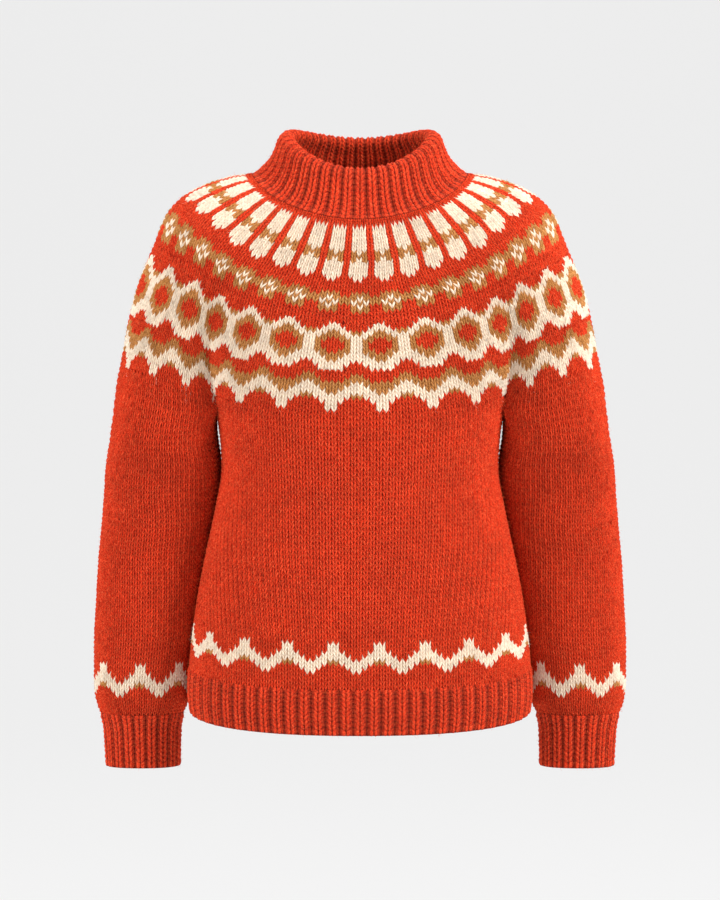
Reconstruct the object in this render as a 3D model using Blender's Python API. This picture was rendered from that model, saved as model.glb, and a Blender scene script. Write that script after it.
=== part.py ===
"""Nordic yoke sweater: a hollow knitted pullover in the shape it has when it is worn.

Knitted in the round from the hem up: the body and two sleeves are tubes, they join
at the underarms, and one round yoke closes over them up to the doubled ribbed collar.
Metres, +Z up, the front faces -Y. The origin lies between the two sides of the neck,
level with the collar's seam there.

Every piece is a wall between rings: a ring is sampled at fixed stations round the
piece, the rings are listed from top to bottom, and the wall's inside is the outside
moved in by its thickness. Pieces share their seam's rings, each drawn back by half
of the seam gap.
"""
import math
from collections import namedtuple

import bmesh
import bpy
import numpy as np

COLLECTION = "nordic_yoke_sweater"

# Cloth and seams
CLOTH = 0.0030            # stockinette in thick brushed wool
RIB_CLOTH = 0.0032        # ribbing between its ridges
RIB_HEIGHT = 0.0018       # a ridge above its valleys
SEAM_GAP = 0.0003         # between two pieces that are sewn or knitted together
HALF_GAP = SEAM_GAP / 2

# Stations round the pieces
FRONT_STATIONS = 9        # segments from the middle of the front (or back) to the armhole crease
SLEEVE_STATIONS = 8       # segments from the crease to the outermost line of the sleeve
UNDERARM_STATIONS = 6     # segments of the graft between body and sleeve
POINTS_PER_RIB = 3        # a valley and the two sides of a ridge
HEM_RIBS = 66
CUFF_RIBS = 20
COLLAR_RIBS = 44

# Outline of the sections: 2 is an ellipse, more is squarer
BODY_POWER = 2.3
SLEEVE_POWER = 2.15
COLLAR_POWER = 2.05

# Armhole
CREASE_SHARE = 0.53       # where the crease runs, as a share of the way from front to side
CREASE_INSET = 0.0035     # from the crease to the side of the body there
CREASE_SPREAD = 0.035     # how much wider apart the creases are at the neck than at the underarm
CREASE_START = 0.34       # share of the yoke's depth where the crease begins
CREASE_CURVE = 1.35       # how slowly it deepens
UNDERARM_LEVEL = -0.256
GRAFT_SHARE = 0.16        # of a sleeve's girth that lies along the underarm's stations
UNDERARM_LIFT = 0.0035    # top of the graft above its underside
CREASE_TUCK = 0.0025      # how far the inside corner of the crease lies behind the outside one
SLEEVE_BACK = 0.004       # sleeves hang this far behind the middle of the body
SLEEVE_TOP_DEPTH = 0.060  # half of the sleeve's depth, front to back, where it joins
SLEEVE_TOP_WIDTH = 0.057  # half of its width there
CREASE_LEAD = (0.010, 0.5)  # how far out, and what share of the way to its crest, the sleeve first turns
CREST_LEAD = 0.030        # where the turn begins to flatten, before the sleeve's middle line
RIM_SOFT_ANGLE = 50.0     # degrees; edges sharper than this stay crisp

# Superellipse sampling
QUARTER_SAMPLES = 240
TURN_SAMPLES = 40

# The yoke, from the neck to the joining round. share: how far down; power: squareness;
# rise and slope: height and steepness of a ring at the crease, as shares of its rise to the side
BACK_RISE = 0.25          # how much more of its rise a ring has made there on the back, at the neck
YokeRow = namedtuple("YokeRow", "share side_x side_z front_y front_z back_y back_z power rise slope")
YOKE = (
    YokeRow(0.00, 0.1186, 0.0000, -0.0960, -0.0450, 0.0880, -0.0040, 2.10, 0.41, 1.38),
    YokeRow(0.10, 0.1460, -0.0040, -0.1015, -0.0660, 0.0985, -0.0170, 2.12, 0.38, 1.35),
    YokeRow(0.24, 0.1880, -0.0205, -0.1065, -0.0940, 0.1050, -0.0440, 2.15, 0.34, 1.30),
    YokeRow(0.34, 0.2110, -0.0415, -0.1090, -0.1150, 0.1075, -0.0700, 2.20, 0.30, 1.25),
    YokeRow(0.47, 0.2275, -0.0790, -0.1110, -0.1415, 0.1085, -0.1050, 2.25, 0.24, 1.10),
    YokeRow(0.64, 0.2465, -0.1250, -0.1120, -0.1770, 0.1080, -0.1490, 2.30, 0.12, 0.85),
    YokeRow(0.77, 0.2565, -0.1630, -0.1110, -0.2040, 0.1062, -0.1850, 2.30, 0.02, 0.60),
    YokeRow(0.90, 0.2645, -0.2030, -0.1085, -0.2310, 0.1040, -0.2220, 2.30, -0.08, 0.35),
    YokeRow(1.00, 0.2705, -0.2310, -0.1060, -0.2530, 0.1020, -0.2530, 2.30, -0.14, 0.20),
)
YOKE_RINGS = 14

# The body below the joining round
BodyRow = namedtuple("BodyRow", "z half_width front_y back_y")
BODY_TOP = BodyRow(-0.253, 0.1605, -0.1060, 0.1020)
BODY = (
    BodyRow(-0.290, 0.1558, -0.1042, 0.0985),
    BodyRow(-0.330, 0.1545, -0.1032, 0.0970),
    BodyRow(-0.370, 0.1615, -0.1045, 0.0990),
    BodyRow(-0.410, 0.1700, -0.1070, 0.1030),
    BodyRow(-0.467, 0.1818, -0.1108, 0.1080),
    BodyRow(-0.525, 0.1905, -0.1138, 0.1118),
    BodyRow(-0.558, 0.1935, -0.1150, 0.1132),
)
BODY_RINGS = 11
HEM = (
    BodyRow(-0.558, 0.1935, -0.1150, 0.1132),
    BodyRow(-0.585, 0.1942, -0.1145, 0.1128),
    BodyRow(-0.604, 0.1925, -0.1125, 0.1108),
)

# A sleeve below the joining round, and its cuff: the extreme lines of each section and its
# tilt, which is how steeply it rises to the front, because the forearm leans forward
SleeveRow = namedtuple("SleeveRow", "z outer_x inner_x front_y back_y tilt")
SLEEVE = (
    SleeveRow(-0.290, 0.2790, 0.1605, -0.0530, 0.0700, 0.00),
    SleeveRow(-0.325, 0.2860, 0.1572, -0.0400, 0.0790, 0.00),
    SleeveRow(-0.364, 0.2902, 0.1595, -0.0285, 0.0845, 0.00),
    SleeveRow(-0.403, 0.2945, 0.1665, -0.0215, 0.0860, 0.00),
    SleeveRow(-0.442, 0.2989, 0.1740, -0.0180, 0.0855, 0.01),
    SleeveRow(-0.482, 0.3018, 0.1815, -0.0165, 0.0840, 0.03),
    SleeveRow(-0.520, 0.3045, 0.1880, -0.0165, 0.0820, 0.05),
    SleeveRow(-0.558, 0.3055, 0.1928, -0.0170, 0.0790, 0.08),
    SleeveRow(-0.590, 0.3052, 0.1965, -0.0160, 0.0755, 0.11),
    SleeveRow(-0.606, 0.3025, 0.1995, -0.0125, 0.0700, 0.13),
    SleeveRow(-0.616, 0.2990, 0.2040, -0.0090, 0.0655, 0.14),
)
SLEEVE_RINGS = 14
CUFF = (
    SleeveRow(-0.616, 0.2990, 0.2040, -0.0090, 0.0655, 0.14),
    SleeveRow(-0.628, 0.2955, 0.2075, -0.0060, 0.0620, 0.15),
    SleeveRow(-0.653, 0.2935, 0.2092, -0.0045, 0.0600, 0.17),
    SleeveRow(-0.680, 0.2925, 0.2098, -0.0040, 0.0595, 0.18),
)

# Soft folds of a sleeve, seen on its front (face -1) or its back (face 1): where the middle lies,
# how steeply it climbs outwards, its half length and half width, and its depth
Fold = namedtuple("Fold", "face x z climb reach width depth")
SLEEVE_FOLDS = (
    Fold(-1, 0.196, -0.352, 0.45, 0.050, 0.026, 0.0050),
    Fold(-1, 0.215, -0.425, -0.20, 0.045, 0.026, 0.0030),
    Fold(1, 0.205, -0.380, 0.30, 0.050, 0.028, 0.0040),
)

# The doubled collar: from the seam up its outside, over the roll and down its inside.
# ridge is the share of a rib's height that shows there
CollarRow = namedtuple("CollarRow", "side_x side_z front_y front_z back_y back_z ridge")
COLLAR_OUTSIDE = (
    CollarRow(0.1186, 0.0000, -0.0960, -0.0450, 0.0880, -0.0040, 0.35),
    CollarRow(0.1060, 0.0060, -0.0920, -0.0380, 0.0825, 0.0030, 0.90),
    CollarRow(0.0965, 0.0170, -0.0880, -0.0260, 0.0785, 0.0130, 1.00),
    CollarRow(0.0910, 0.0290, -0.0845, -0.0120, 0.0758, 0.0240, 1.00),
    CollarRow(0.0882, 0.0368, -0.0818, -0.0010, 0.0740, 0.0310, 1.00),
    CollarRow(0.0842, 0.0422, -0.0785, 0.0050, 0.0710, 0.0362, 0.90),
    CollarRow(0.0785, 0.0440, -0.0735, 0.0075, 0.0662, 0.0382, 0.70),
)
COLLAR_INSIDE = (
    CollarRow(0.1116, 0.0000, -0.0890, -0.0450, 0.0810, -0.0040, 0.0),
    CollarRow(0.0985, 0.0030, -0.0845, -0.0400, 0.0750, -0.0010, 0.0),
    CollarRow(0.0880, 0.0120, -0.0795, -0.0300, 0.0700, 0.0080, 0.0),
    CollarRow(0.0800, 0.0250, -0.0745, -0.0150, 0.0655, 0.0200, 0.0),
    CollarRow(0.0745, 0.0325, -0.0690, -0.0050, 0.0610, 0.0270, 0.0),
    CollarRow(0.0720, 0.0378, -0.0665, 0.0015, 0.0590, 0.0322, 0.0),
    CollarRow(0.0735, 0.0418, -0.0680, 0.0055, 0.0605, 0.0360, 0.0),
)

# Yarn colours as the eye sees them, dyed wool
YARN_RED = (0.69, 0.052, 0.014)
YARN_RED_SHADE = (0.52, 0.035, 0.011)
WOOL_ROUGHNESS = 0.95


def cubic(knots, values, slopes, at):
    """A curve through values at knots with the given slopes there."""
    steps = np.diff(knots)
    span = np.clip(np.searchsorted(knots, at, side="right") - 1, 0, len(steps) - 1)
    shape = (-1,) + (1,) * (values.ndim - 1)
    width = steps[span].reshape(shape)
    u = (at - knots[span]).reshape(shape) / width
    start = values[span] * (2 * u**3 - 3 * u**2 + 1) + slopes[span] * width * (u**3 - 2 * u**2 + u)
    end = values[span + 1] * (3 * u**2 - 2 * u**3) + slopes[span + 1] * width * (u**3 - u**2)
    return start + end


def hermite(knots, values, at):
    """A smooth curve through values at knots, with averaged slopes."""
    knots = np.asarray(knots, float)
    values = np.asarray(values, float)
    steps = np.diff(knots)
    chords = np.diff(values, axis=0) / steps.reshape((-1,) + (1,) * (values.ndim - 1))
    slopes = np.empty_like(values)
    slopes[0] = chords[0]
    slopes[-1] = chords[-1]
    slopes[1:-1] = (chords[:-1] + chords[1:]) / 2
    return cubic(knots, values, slopes, np.atleast_1d(at))


def along(line, shares):
    """Points at the given shares of a polyline's length."""
    line = np.asarray(line, float)
    length = np.concatenate([[0.0], np.cumsum(np.linalg.norm(np.diff(line, axis=0), axis=1))])
    at = np.asarray(shares) * length[-1]
    return np.stack([np.interp(at, length, line[:, axis]) for axis in range(line.shape[1])], axis=1)


def quarter(half_width, depth, power):
    """A quarter of a superellipse, from (0, depth) to (half_width, 0)."""
    angle = np.linspace(0, math.pi / 2, QUARTER_SAMPLES)
    x = half_width * np.sin(angle) ** (2 / power)
    y = depth * np.clip(np.cos(angle), 0, None) ** (2 / power)
    return np.stack([x, y], axis=1)


def bezier(start, lead, trail, end):
    """A cubic curve between two points, pulled towards the two between."""
    u = np.linspace(0, 1, TURN_SAMPLES)[:, None]
    points = [np.asarray(p, float) for p in (start, lead, trail, end)]
    weights = ((1 - u) ** 3, 3 * u * (1 - u) ** 2, 3 * u**2 * (1 - u), u**3)
    return sum(w * p for w, p in zip(weights, points))


def body_quarter(half_width, depth):
    """The front or back of the body from its middle to its side, split at the crease."""
    whole = quarter(half_width, depth, BODY_POWER)
    crease_x = half_width - CREASE_INSET
    cut = int(np.searchsorted(whole[:, 0], crease_x))
    share = (crease_x - whole[cut - 1, 0]) / (whole[cut, 0] - whole[cut - 1, 0])
    crease = whole[cut - 1] + share * (whole[cut] - whole[cut - 1])
    return np.vstack([whole[:cut], crease]), np.vstack([crease, whole[cut:]])


def sleeve_quarter(crease, side_x, side_sign):
    """The sleeve's outside from the crease, over its front or back, to its outermost line."""
    middle = side_x - SLEEVE_TOP_WIDTH
    crest = side_sign * SLEEVE_TOP_DEPTH + SLEEVE_BACK
    lead = (crease[0] + CREASE_LEAD[0], crease[1] + CREASE_LEAD[1] * (crest - crease[1]))
    start = bezier(crease, lead, (middle - CREST_LEAD, crest), (middle, crest))
    end = quarter(SLEEVE_TOP_WIDTH, crest - SLEEVE_BACK, SLEEVE_POWER) + (middle, SLEEVE_BACK)
    return np.vstack([start, end[1:]])


def yoke_row(share):
    """The yoke's sizes at any share of its depth."""
    table = np.array(YOKE)
    return YokeRow(*hermite(table[:, 0], table, share)[0])


def yoke_quarter(row, side_sign):
    """A quarter of a yoke ring with the crease that the armhole draws into it."""
    depth = row.front_y if side_sign < 0 else row.back_y
    level = row.front_z if side_sign < 0 else row.back_z
    front = np.linspace(0, 1, FRONT_STATIONS + 1)
    sleeve = np.linspace(0, 1, SLEEVE_STATIONS + 1)
    shares = np.concatenate([front * CREASE_SHARE, CREASE_SHARE + sleeve[1:] * (1 - CREASE_SHARE)])
    oval = quarter(row.side_x, depth, row.power)
    oval[:, 1] += SLEEVE_BACK * (oval[:, 0] / row.side_x) ** 2
    smooth = along(oval, shares)
    half_width = BODY_TOP.half_width + CREASE_SPREAD * (1 - row.share)
    body, _ = body_quarter(half_width, depth)
    outside = sleeve_quarter(body[-1], max(row.side_x, half_width + 2 * CREASE_INSET), side_sign)
    creased = np.vstack([along(body, front), along(outside, sleeve)[1:]])
    weight = np.clip((row.share - CREASE_START) / (1 - CREASE_START), 0, 1) ** CREASE_CURVE
    plan = smooth * (1 - weight) + creased * weight
    rise = row.side_z - level
    crease_rise = row.rise + (BACK_RISE * (1 - row.share) if side_sign > 0 else 0.0)
    knots = np.array((0.0, CREASE_SHARE, 1.0))
    heights = np.array((level, level + crease_rise * rise, row.side_z))
    z = cubic(knots, heights, np.array((0.0, row.slope * rise, 0.0)), shares)
    return np.column_stack([plan, z])


def mirrored(points):
    """The same points on the other side of the garment, in reverse order."""
    return points[::-1] * (-1, 1, 1)


def yoke_ring(share):
    """A whole ring of the yoke, from the middle of the front round by +X."""
    row = yoke_row(share)
    front = yoke_quarter(row, -1)
    back = yoke_quarter(row, 1)
    right = np.vstack([front, back[::-1][1:]])
    return np.vstack([right, mirrored(right)[1:-1]])


def body_ring(row):
    """A level ring of the body: front, underarm, back and the other side."""
    front_shares = np.linspace(0, 1, FRONT_STATIONS + 1)
    side_shares = np.linspace(0, 1, UNDERARM_STATIONS // 2 + 1)
    halves = []
    for depth in (row.front_y, row.back_y):
        panel, side = body_quarter(row.half_width, depth)
        halves.append(np.vstack([along(panel, front_shares), along(side, side_shares)[1:]]))
    right = np.vstack([halves[0], halves[1][::-1][1:]])
    right = np.column_stack([right, np.full(len(right), row.z)])
    return np.vstack([right, mirrored(right)[1:-1]])


def underarm(ring):
    """Indices of a body ring's stations on the two underarms, crease to crease."""
    first = FRONT_STATIONS
    last = first + UNDERARM_STATIONS
    right = np.arange(first, last + 1)
    left = len(ring) - right[::-1]
    return right, left


def join_body_ring():
    """The body's top ring, which the yoke and the sleeves share."""
    ring = body_ring(BODY_TOP)
    joined = yoke_ring(1.0)
    right, left = underarm(ring)
    panel = np.arange(FRONT_STATIONS + 1)
    ring[panel] = joined[panel]
    ring[-panel] = joined[-panel]
    half = len(ring) // 2
    half_joined = len(joined) // 2
    ring[half - panel] = joined[half_joined - panel]
    ring[half + panel] = joined[half_joined + panel]
    ring[right, 2] = UNDERARM_LEVEL
    ring[left, 2] = UNDERARM_LEVEL
    return ring


def join_sleeve_ring():
    """The right sleeve's top ring: out over the sleeve from the front crease, back by the underarm."""
    joined = yoke_ring(1.0)
    outside = joined[FRONT_STATIONS:FRONT_STATIONS + 2 * SLEEVE_STATIONS + 1].copy()
    body = join_body_ring()
    graft = body[underarm(body)[0]][::-1]
    ring = np.vstack([outside, graft[1:-1]])
    ring[0, 2] = UNDERARM_LEVEL
    ring[2 * SLEEVE_STATIONS, 2] = UNDERARM_LEVEL
    return ring


def sleeve_ring(row, outside=2 * SLEEVE_STATIONS, inside=UNDERARM_STATIONS, graft_share=GRAFT_SHARE):
    """A level ring of the right sleeve from its front inner line round by the outside."""
    middle = (row.outer_x + row.inner_x) / 2
    half_width = (row.outer_x - row.inner_x) / 2
    level = (row.front_y + row.back_y) / 2
    half_depth = (row.back_y - row.front_y) / 2
    angle = np.linspace(0, 2 * math.pi, 4 * QUARTER_SAMPLES + 1)
    x = middle - half_width * np.sign(np.cos(angle)) * np.abs(np.cos(angle)) ** (2 / SLEEVE_POWER)
    y = level - half_depth * np.sign(np.sin(angle)) * np.abs(np.sin(angle)) ** (2 / SLEEVE_POWER)
    loop = np.column_stack([x, y])
    out = np.linspace(graft_share / 2, 1 - graft_share / 2, outside + 1)
    back = np.linspace(1 - graft_share / 2, 1 + graft_share / 2, inside + 1)[1:-1]
    shares = np.concatenate([out, back]) % 1.0
    plan = along(loop, shares)
    return np.column_stack([plan, row.z - row.tilt * (plan[:, 1] - level)])


def stack(rings, count):
    """More rings between the given ones, on smooth lines down through each station."""
    rings = np.array(rings)
    depth = np.concatenate([[0.0], np.cumsum(np.abs(np.diff(rings[:, :, 2].mean(axis=1))))])
    levels = np.linspace(0, depth[-1], count)
    return hermite(depth, rings, levels)


def outward(rings):
    """Unit normals of a stack of closed rings listed downwards, pointing out of the tube."""
    around = np.roll(rings, -1, axis=1) - np.roll(rings, 1, axis=1)
    down = np.empty_like(rings)
    down[1:-1] = rings[2:] - rings[:-2]
    down[0] = rings[1] - rings[0]
    down[-1] = rings[-1] - rings[-2]
    normal = np.cross(down, around)
    middle = rings.mean(axis=1, keepdims=True)
    if np.sum(normal * (rings - middle)) < 0:
        normal = -normal
    return normal / np.linalg.norm(normal, axis=2, keepdims=True)


def level_outward(ring):
    """Unit normals of one ring within its plan, with no part up or down."""
    around = np.roll(ring, -1, axis=0) - np.roll(ring, 1, axis=0)
    normal = np.column_stack([around[:, 1], -around[:, 0], np.zeros(len(ring))])
    if np.sum(normal * (ring - ring.mean(axis=0))) < 0:
        normal = -normal
    return normal / np.linalg.norm(normal, axis=1, keepdims=True)


def inside_of(rings, thickness):
    """The wall's inner rings; the first and last stay level with their seams."""
    inner = rings - thickness * outward(rings)
    inner[0] = rings[0] - thickness * level_outward(rings[0])
    inner[-1] = rings[-1] - thickness * level_outward(rings[-1])
    return inner


def crease_corner(outer, inner, stations):
    """Put the wall's inner corner straight behind and above the crease's outer one."""
    for station in stations:
        toward = -math.copysign(1.0, outer[station, 1] - SLEEVE_BACK)
        inner[station] = outer[station] + (0, toward * CREASE_TUCK, UNDERARM_LIFT)


def folded(rings, folds):
    """Rings with soft troughs pressed into them; a trough fades out before it reaches an edge."""
    normal = outward(rings)
    shift = np.zeros(rings.shape[:2])
    for fold in folds:
        length = math.hypot(1.0, fold.climb)
        across_x = rings[:, :, 0] - fold.x
        across_z = rings[:, :, 2] - fold.z
        lengthwise = (across_x + fold.climb * across_z) / length
        crosswise = (across_z - fold.climb * across_x) / length
        trough = np.exp(-((lengthwise / fold.reach) ** 2) - (crosswise / fold.width) ** 2)
        shift += fold.depth * trough * np.clip(normal[:, :, 1] * fold.face, 0, 1)
    return rings - shift[:, :, None] * normal


def wall(name, outer, inner, material):
    """One closed solid between outer and inner rings, listed from top to bottom."""
    count = len(outer[0])
    rings = list(outer) + list(inner)[::-1]
    bm = bmesh.new()
    rows = [[bm.verts.new(point) for point in ring] for ring in rings]
    for upper, lower in zip(rows, rows[1:] + rows[:1]):
        for here in range(count):
            after = (here + 1) % count
            bm.faces.new((upper[here], lower[here], lower[after], upper[after]))
    bmesh.ops.triangulate(bm, faces=bm.faces[:])
    bmesh.ops.recalc_face_normals(bm, faces=bm.faces[:])
    if bm.calc_volume(signed=True) < 0:
        bmesh.ops.reverse_faces(bm, faces=bm.faces[:])
    mesh = bpy.data.meshes.new(name)
    bm.to_mesh(mesh)
    bm.free()
    mesh.shade_smooth()
    mesh.set_sharp_from_angle(angle=math.radians(RIM_SOFT_ANGLE))
    mesh.materials.append(material)
    piece = bpy.data.objects.new(name, mesh)
    bpy.data.collections[COLLECTION].objects.link(piece)
    return piece


def wool(name, colour):
    """Matt dyed wool."""
    material = bpy.data.materials.new(name)
    material.use_nodes = True
    shader = material.node_tree.nodes["Principled BSDF"]
    shader.inputs["Base Color"].default_value = (*colour, 1.0)
    shader.inputs["Roughness"].default_value = WOOL_ROUGHNESS
    shader.inputs["Metallic"].default_value = 0.0
    return material


def make_yoke():
    """The round yoke, from the collar's seam to the joining round."""
    outer = np.array([yoke_ring(share) for share in np.linspace(0, 1, YOKE_RINGS)])
    inner = inside_of(outer, CLOTH)
    half = outer.shape[1] // 2
    creases = [FRONT_STATIONS, half - FRONT_STATIONS, half + FRONT_STATIONS, -FRONT_STATIONS]
    outer[-1, creases, 2] = UNDERARM_LEVEL
    crease_corner(outer[-1], inner[-1], creases)
    for rings in (outer, inner):
        rings[0, :, 2] -= HALF_GAP
        rings[-1, :, 2] += HALF_GAP
    return wall("yoke", outer, inner, wool("wool_knit_yoke", YARN_RED))


def make_body():
    """The body tube, from the joining round and underarm grafts to the ribbed hem."""
    top = join_body_ring()
    outer = stack([top] + [body_ring(row) for row in BODY], BODY_RINGS)
    inner = inside_of(outer, CLOTH)
    for graft in underarm(top):
        inner[0, graft] = outer[0, graft] + (0, 0, UNDERARM_LIFT)
        crease_corner(outer[0], inner[0], graft[[0, -1]])
        pull = level_outward(top)[graft] * HALF_GAP
        outer[0, graft] -= pull
        inner[0, graft] -= pull
    for rings in (outer, inner):
        panels = np.setdiff1d(np.arange(len(top)), np.concatenate([g[1:-1] for g in underarm(top)]))
        rings[0, panels, 2] -= HALF_GAP
        rings[-1, :, 2] += HALF_GAP
    return wall("body", outer, inner, wool("wool_knit_body", YARN_RED))


def make_sleeve(name, side):
    """A sleeve tube from the joining round to its cuff; side is 1 for +X and -1 for -X."""
    top = join_sleeve_ring()
    outer = folded(stack([top] + [sleeve_ring(row) for row in SLEEVE], SLEEVE_RINGS), SLEEVE_FOLDS)
    outer[0] = top
    inner = inside_of(outer, CLOTH)
    graft = np.concatenate([np.arange(2 * SLEEVE_STATIONS, len(top)), [0]])
    outside = np.arange(0, 2 * SLEEVE_STATIONS + 1)
    inner[0, graft] = outer[0, graft] + (0, 0, UNDERARM_LIFT)
    crease_corner(outer[0], inner[0], graft[[0, -1]])
    body = join_body_ring()
    pull = (level_outward(body)[underarm(body)[0]] * HALF_GAP)[::-1]
    for rings in (outer, inner):
        rings[0, graft] += pull
        rings[0, outside, 2] -= HALF_GAP
        rings[-1, :, 2] += HALF_GAP
        rings[:, :, 0] *= side
    return wall(name, outer, inner, wool("wool_knit_" + name, YARN_RED))


def ribbed(rings, ridges, shares):
    """Rings with every third point left in a valley and the other two raised into a ridge."""
    raised = np.ones(rings.shape[1])
    raised[::POINTS_PER_RIB] = 0.0
    lift = raised[None, :, None] * RIB_HEIGHT * np.asarray(shares)[:, None, None]
    assert rings.shape[1] == ridges * POINTS_PER_RIB
    return rings + lift * outward(rings)


def even_ring(loop, count):
    """Equal steps round a closed loop, the first ridge in the middle of its start."""
    closed = np.vstack([loop, loop[:1]])
    shares = (np.arange(count) - POINTS_PER_RIB / 2) / count % 1.0
    return along(closed, shares)


def body_loop(row):
    """A body section as a fine closed loop from the middle of its front."""
    front = quarter(row.half_width, row.front_y, BODY_POWER)
    back = quarter(row.half_width, row.back_y, BODY_POWER)
    right = np.vstack([front, back[::-1][1:]])
    loop = np.vstack([right, right[::-1][1:-1] * (-1, 1)])
    return np.column_stack([loop, np.full(len(loop), row.z)])


def make_hem():
    """The ribbed hem below the body."""
    count = HEM_RIBS * POINTS_PER_RIB
    base = np.array([even_ring(body_loop(row), count) for row in HEM])
    inner = inside_of(base, RIB_CLOTH)
    outer = ribbed(base, HEM_RIBS, (0.45, 1.0, 0.9))
    for rings in (outer, inner):
        rings[0, :, 2] = HEM[0].z - HALF_GAP
        rings[-1, :, 2] = HEM[-1].z
    return wall("hem_rib", outer, inner, wool("wool_rib_hem", YARN_RED_SHADE))


def make_cuff(name, side):
    """A ribbed cuff below a sleeve."""
    count = CUFF_RIBS * POINTS_PER_RIB
    loops = [sleeve_ring(row, outside=count // 2, inside=count // 2, graft_share=0.5) for row in CUFF]
    base = np.array([even_ring(loop, count) for loop in loops])
    inner = inside_of(base, RIB_CLOTH)
    outer = ribbed(base, CUFF_RIBS, (0.35, 1.0, 1.0, 0.9))
    for rings in (outer, inner):
        rings[0, :, 2] = base[0, :, 2] - HALF_GAP
        rings[-1, :, 2] = base[-1, :, 2]
        rings[:, :, 0] *= side
    return wall(name, outer, inner, wool("wool_rib_" + name, YARN_RED_SHADE))


def collar_ring(row, count):
    """A ring of the collar: level at the sides, dipping to the front and the back."""
    front = quarter(row.side_x, row.front_y, COLLAR_POWER)
    back = quarter(row.side_x, row.back_y, COLLAR_POWER)
    right = np.vstack([front, back[::-1][1:]])
    plan = even_ring(np.vstack([right, right[::-1][1:-1] * (-1, 1)]), count)
    depth = np.where(plan[:, 1] < 0, plan[:, 1] / abs(row.front_y), plan[:, 1] / row.back_y)
    tilt = (row.back_z - row.front_z) / 2
    dip = (row.back_z + row.front_z) / 2 - row.side_z
    return np.column_stack([plan, row.side_z + tilt * depth + dip * depth**2])


def seam_level(plan):
    """Height of the collar's seam at places round the neck, read off the yoke's top ring."""
    ring = yoke_ring(0.0)
    bearing = np.arctan2(ring[:, 1], ring[:, 0])
    order = np.argsort(bearing)
    return np.interp(np.arctan2(plan[:, 1], plan[:, 0]), bearing[order], ring[order, 2], period=2 * math.pi)


def make_collar():
    """The doubled ribbed collar, standing on the yoke's top ring."""
    count = COLLAR_RIBS * POINTS_PER_RIB
    outer = np.array([collar_ring(row, count) for row in COLLAR_OUTSIDE[::-1]])
    inner = np.array([collar_ring(row, count) for row in COLLAR_INSIDE[::-1]])
    outer = ribbed(outer, COLLAR_RIBS, [row.ridge for row in COLLAR_OUTSIDE[::-1]])
    for rings in (outer, inner):
        rings[-1, :, 2] = seam_level(rings[-1]) + HALF_GAP
    return wall("collar", outer, inner, wool("wool_rib_collar", YARN_RED_SHADE))


def main():
    """Clear the scene and build the eight pieces."""
    for old in list(bpy.data.objects):
        bpy.data.objects.remove(old, do_unlink=True)
    bpy.context.scene.collection.children.link(bpy.data.collections.new(COLLECTION))
    make_collar()
    make_yoke()
    make_body()
    make_hem()
    for name, side in (("left", 1), ("right", -1)):
        make_sleeve("sleeve_" + name, side)
        make_cuff("cuff_" + name, side)


main()
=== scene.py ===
"""Looks of the nordic yoke sweater, in thick brushed wool.

Each piece is knitted over the form of its solid: a round of stitches is three closed
lines of points, the gap above a row of legs and two lines on the legs, and every stitch
has a left and a right leg that rise from its middle, which gives stocking stitch its V.
The wall turns in at its edges and comes back up a plain inside, so a piece is one
closed shell. Patterned rounds are charted, a letter for each stitch.
"""
import logging
import math
from collections.abc import Callable
from dataclasses import dataclass, field
from enum import Enum

import bpy
import numpy as np
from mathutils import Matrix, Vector


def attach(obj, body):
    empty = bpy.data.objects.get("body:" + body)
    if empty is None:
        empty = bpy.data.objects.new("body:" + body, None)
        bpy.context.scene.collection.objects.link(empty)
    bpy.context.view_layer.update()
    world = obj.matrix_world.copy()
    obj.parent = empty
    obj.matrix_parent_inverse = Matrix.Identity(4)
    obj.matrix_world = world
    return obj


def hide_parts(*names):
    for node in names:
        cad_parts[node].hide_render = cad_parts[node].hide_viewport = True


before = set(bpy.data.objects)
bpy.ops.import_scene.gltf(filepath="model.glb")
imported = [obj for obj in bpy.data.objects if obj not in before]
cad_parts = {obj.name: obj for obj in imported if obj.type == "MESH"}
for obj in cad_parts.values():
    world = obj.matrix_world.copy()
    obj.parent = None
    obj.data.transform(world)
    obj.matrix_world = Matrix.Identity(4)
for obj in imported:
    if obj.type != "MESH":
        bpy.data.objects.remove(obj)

LOG = logging.getLogger("sweater")
Array = np.ndarray
# Points and normals for rows and shares of the way round
Place = Callable[[Array, Array], tuple[Array, Array]]
# 1 at the shares of the way round where a piece starts or ends level, and 0 elsewhere
Level = Callable[[Array], Array]

# Sizes in metres
CLOTH = 0.0030              # wall, without the relief of its stitches
RIB_CLOTH = 0.0032
STITCH_RELIEF = 0.0009      # a leg's top above the middle of the relief
SIDE_STATIONS = 240         # samples of a quarter section

# Sections: 2 is an ellipse, more is squarer
BODY_POWER = 2.3
SLEEVE_POWER = 2.15
COLLAR_POWER = 2.05

# Stitches. Rounds are counted from the neck down
YOKE_ROUNDS = 49
YOKE_STITCHES = 240         # at the joining round
PANEL_STITCHES = 28         # from the middle of the front to the armhole crease
PANEL_SPREAD = 1.05         # a panel's middle stitch against its mean one
BODY_ROUNDS = 58            # the ribbing starts over the last one
SLEEVE_ROUNDS = 68          # the last one overlaps the ribbing
SLEEVE_STITCHES = 72        # at the joining round
CUFF_STITCHES = 56          # above the cuff
GRAFT_STITCHES = 8          # of them at the underarm
PANEL_SHARE = 4 * PANEL_STITCHES / YOKE_STITCHES    # of a quarter of the joining round
THIRDS = (0.0, 1 / 3, 2 / 3)    # of a round, where its three lines lie
POINTS_EACH = 4             # points of a line to a stitch
STITCH_SHIFT = -0.5         # of a stitch, by which plain rounds start beside the middle
ROUND_START = -0.012        # share of the way round at which the yoke's rounds are counted from


class Yarn(Enum):
    """The three yarns, by the letter that stands for each in a chart."""

    RED = "."
    CREAM = "C"
    TAN = "T"


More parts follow.
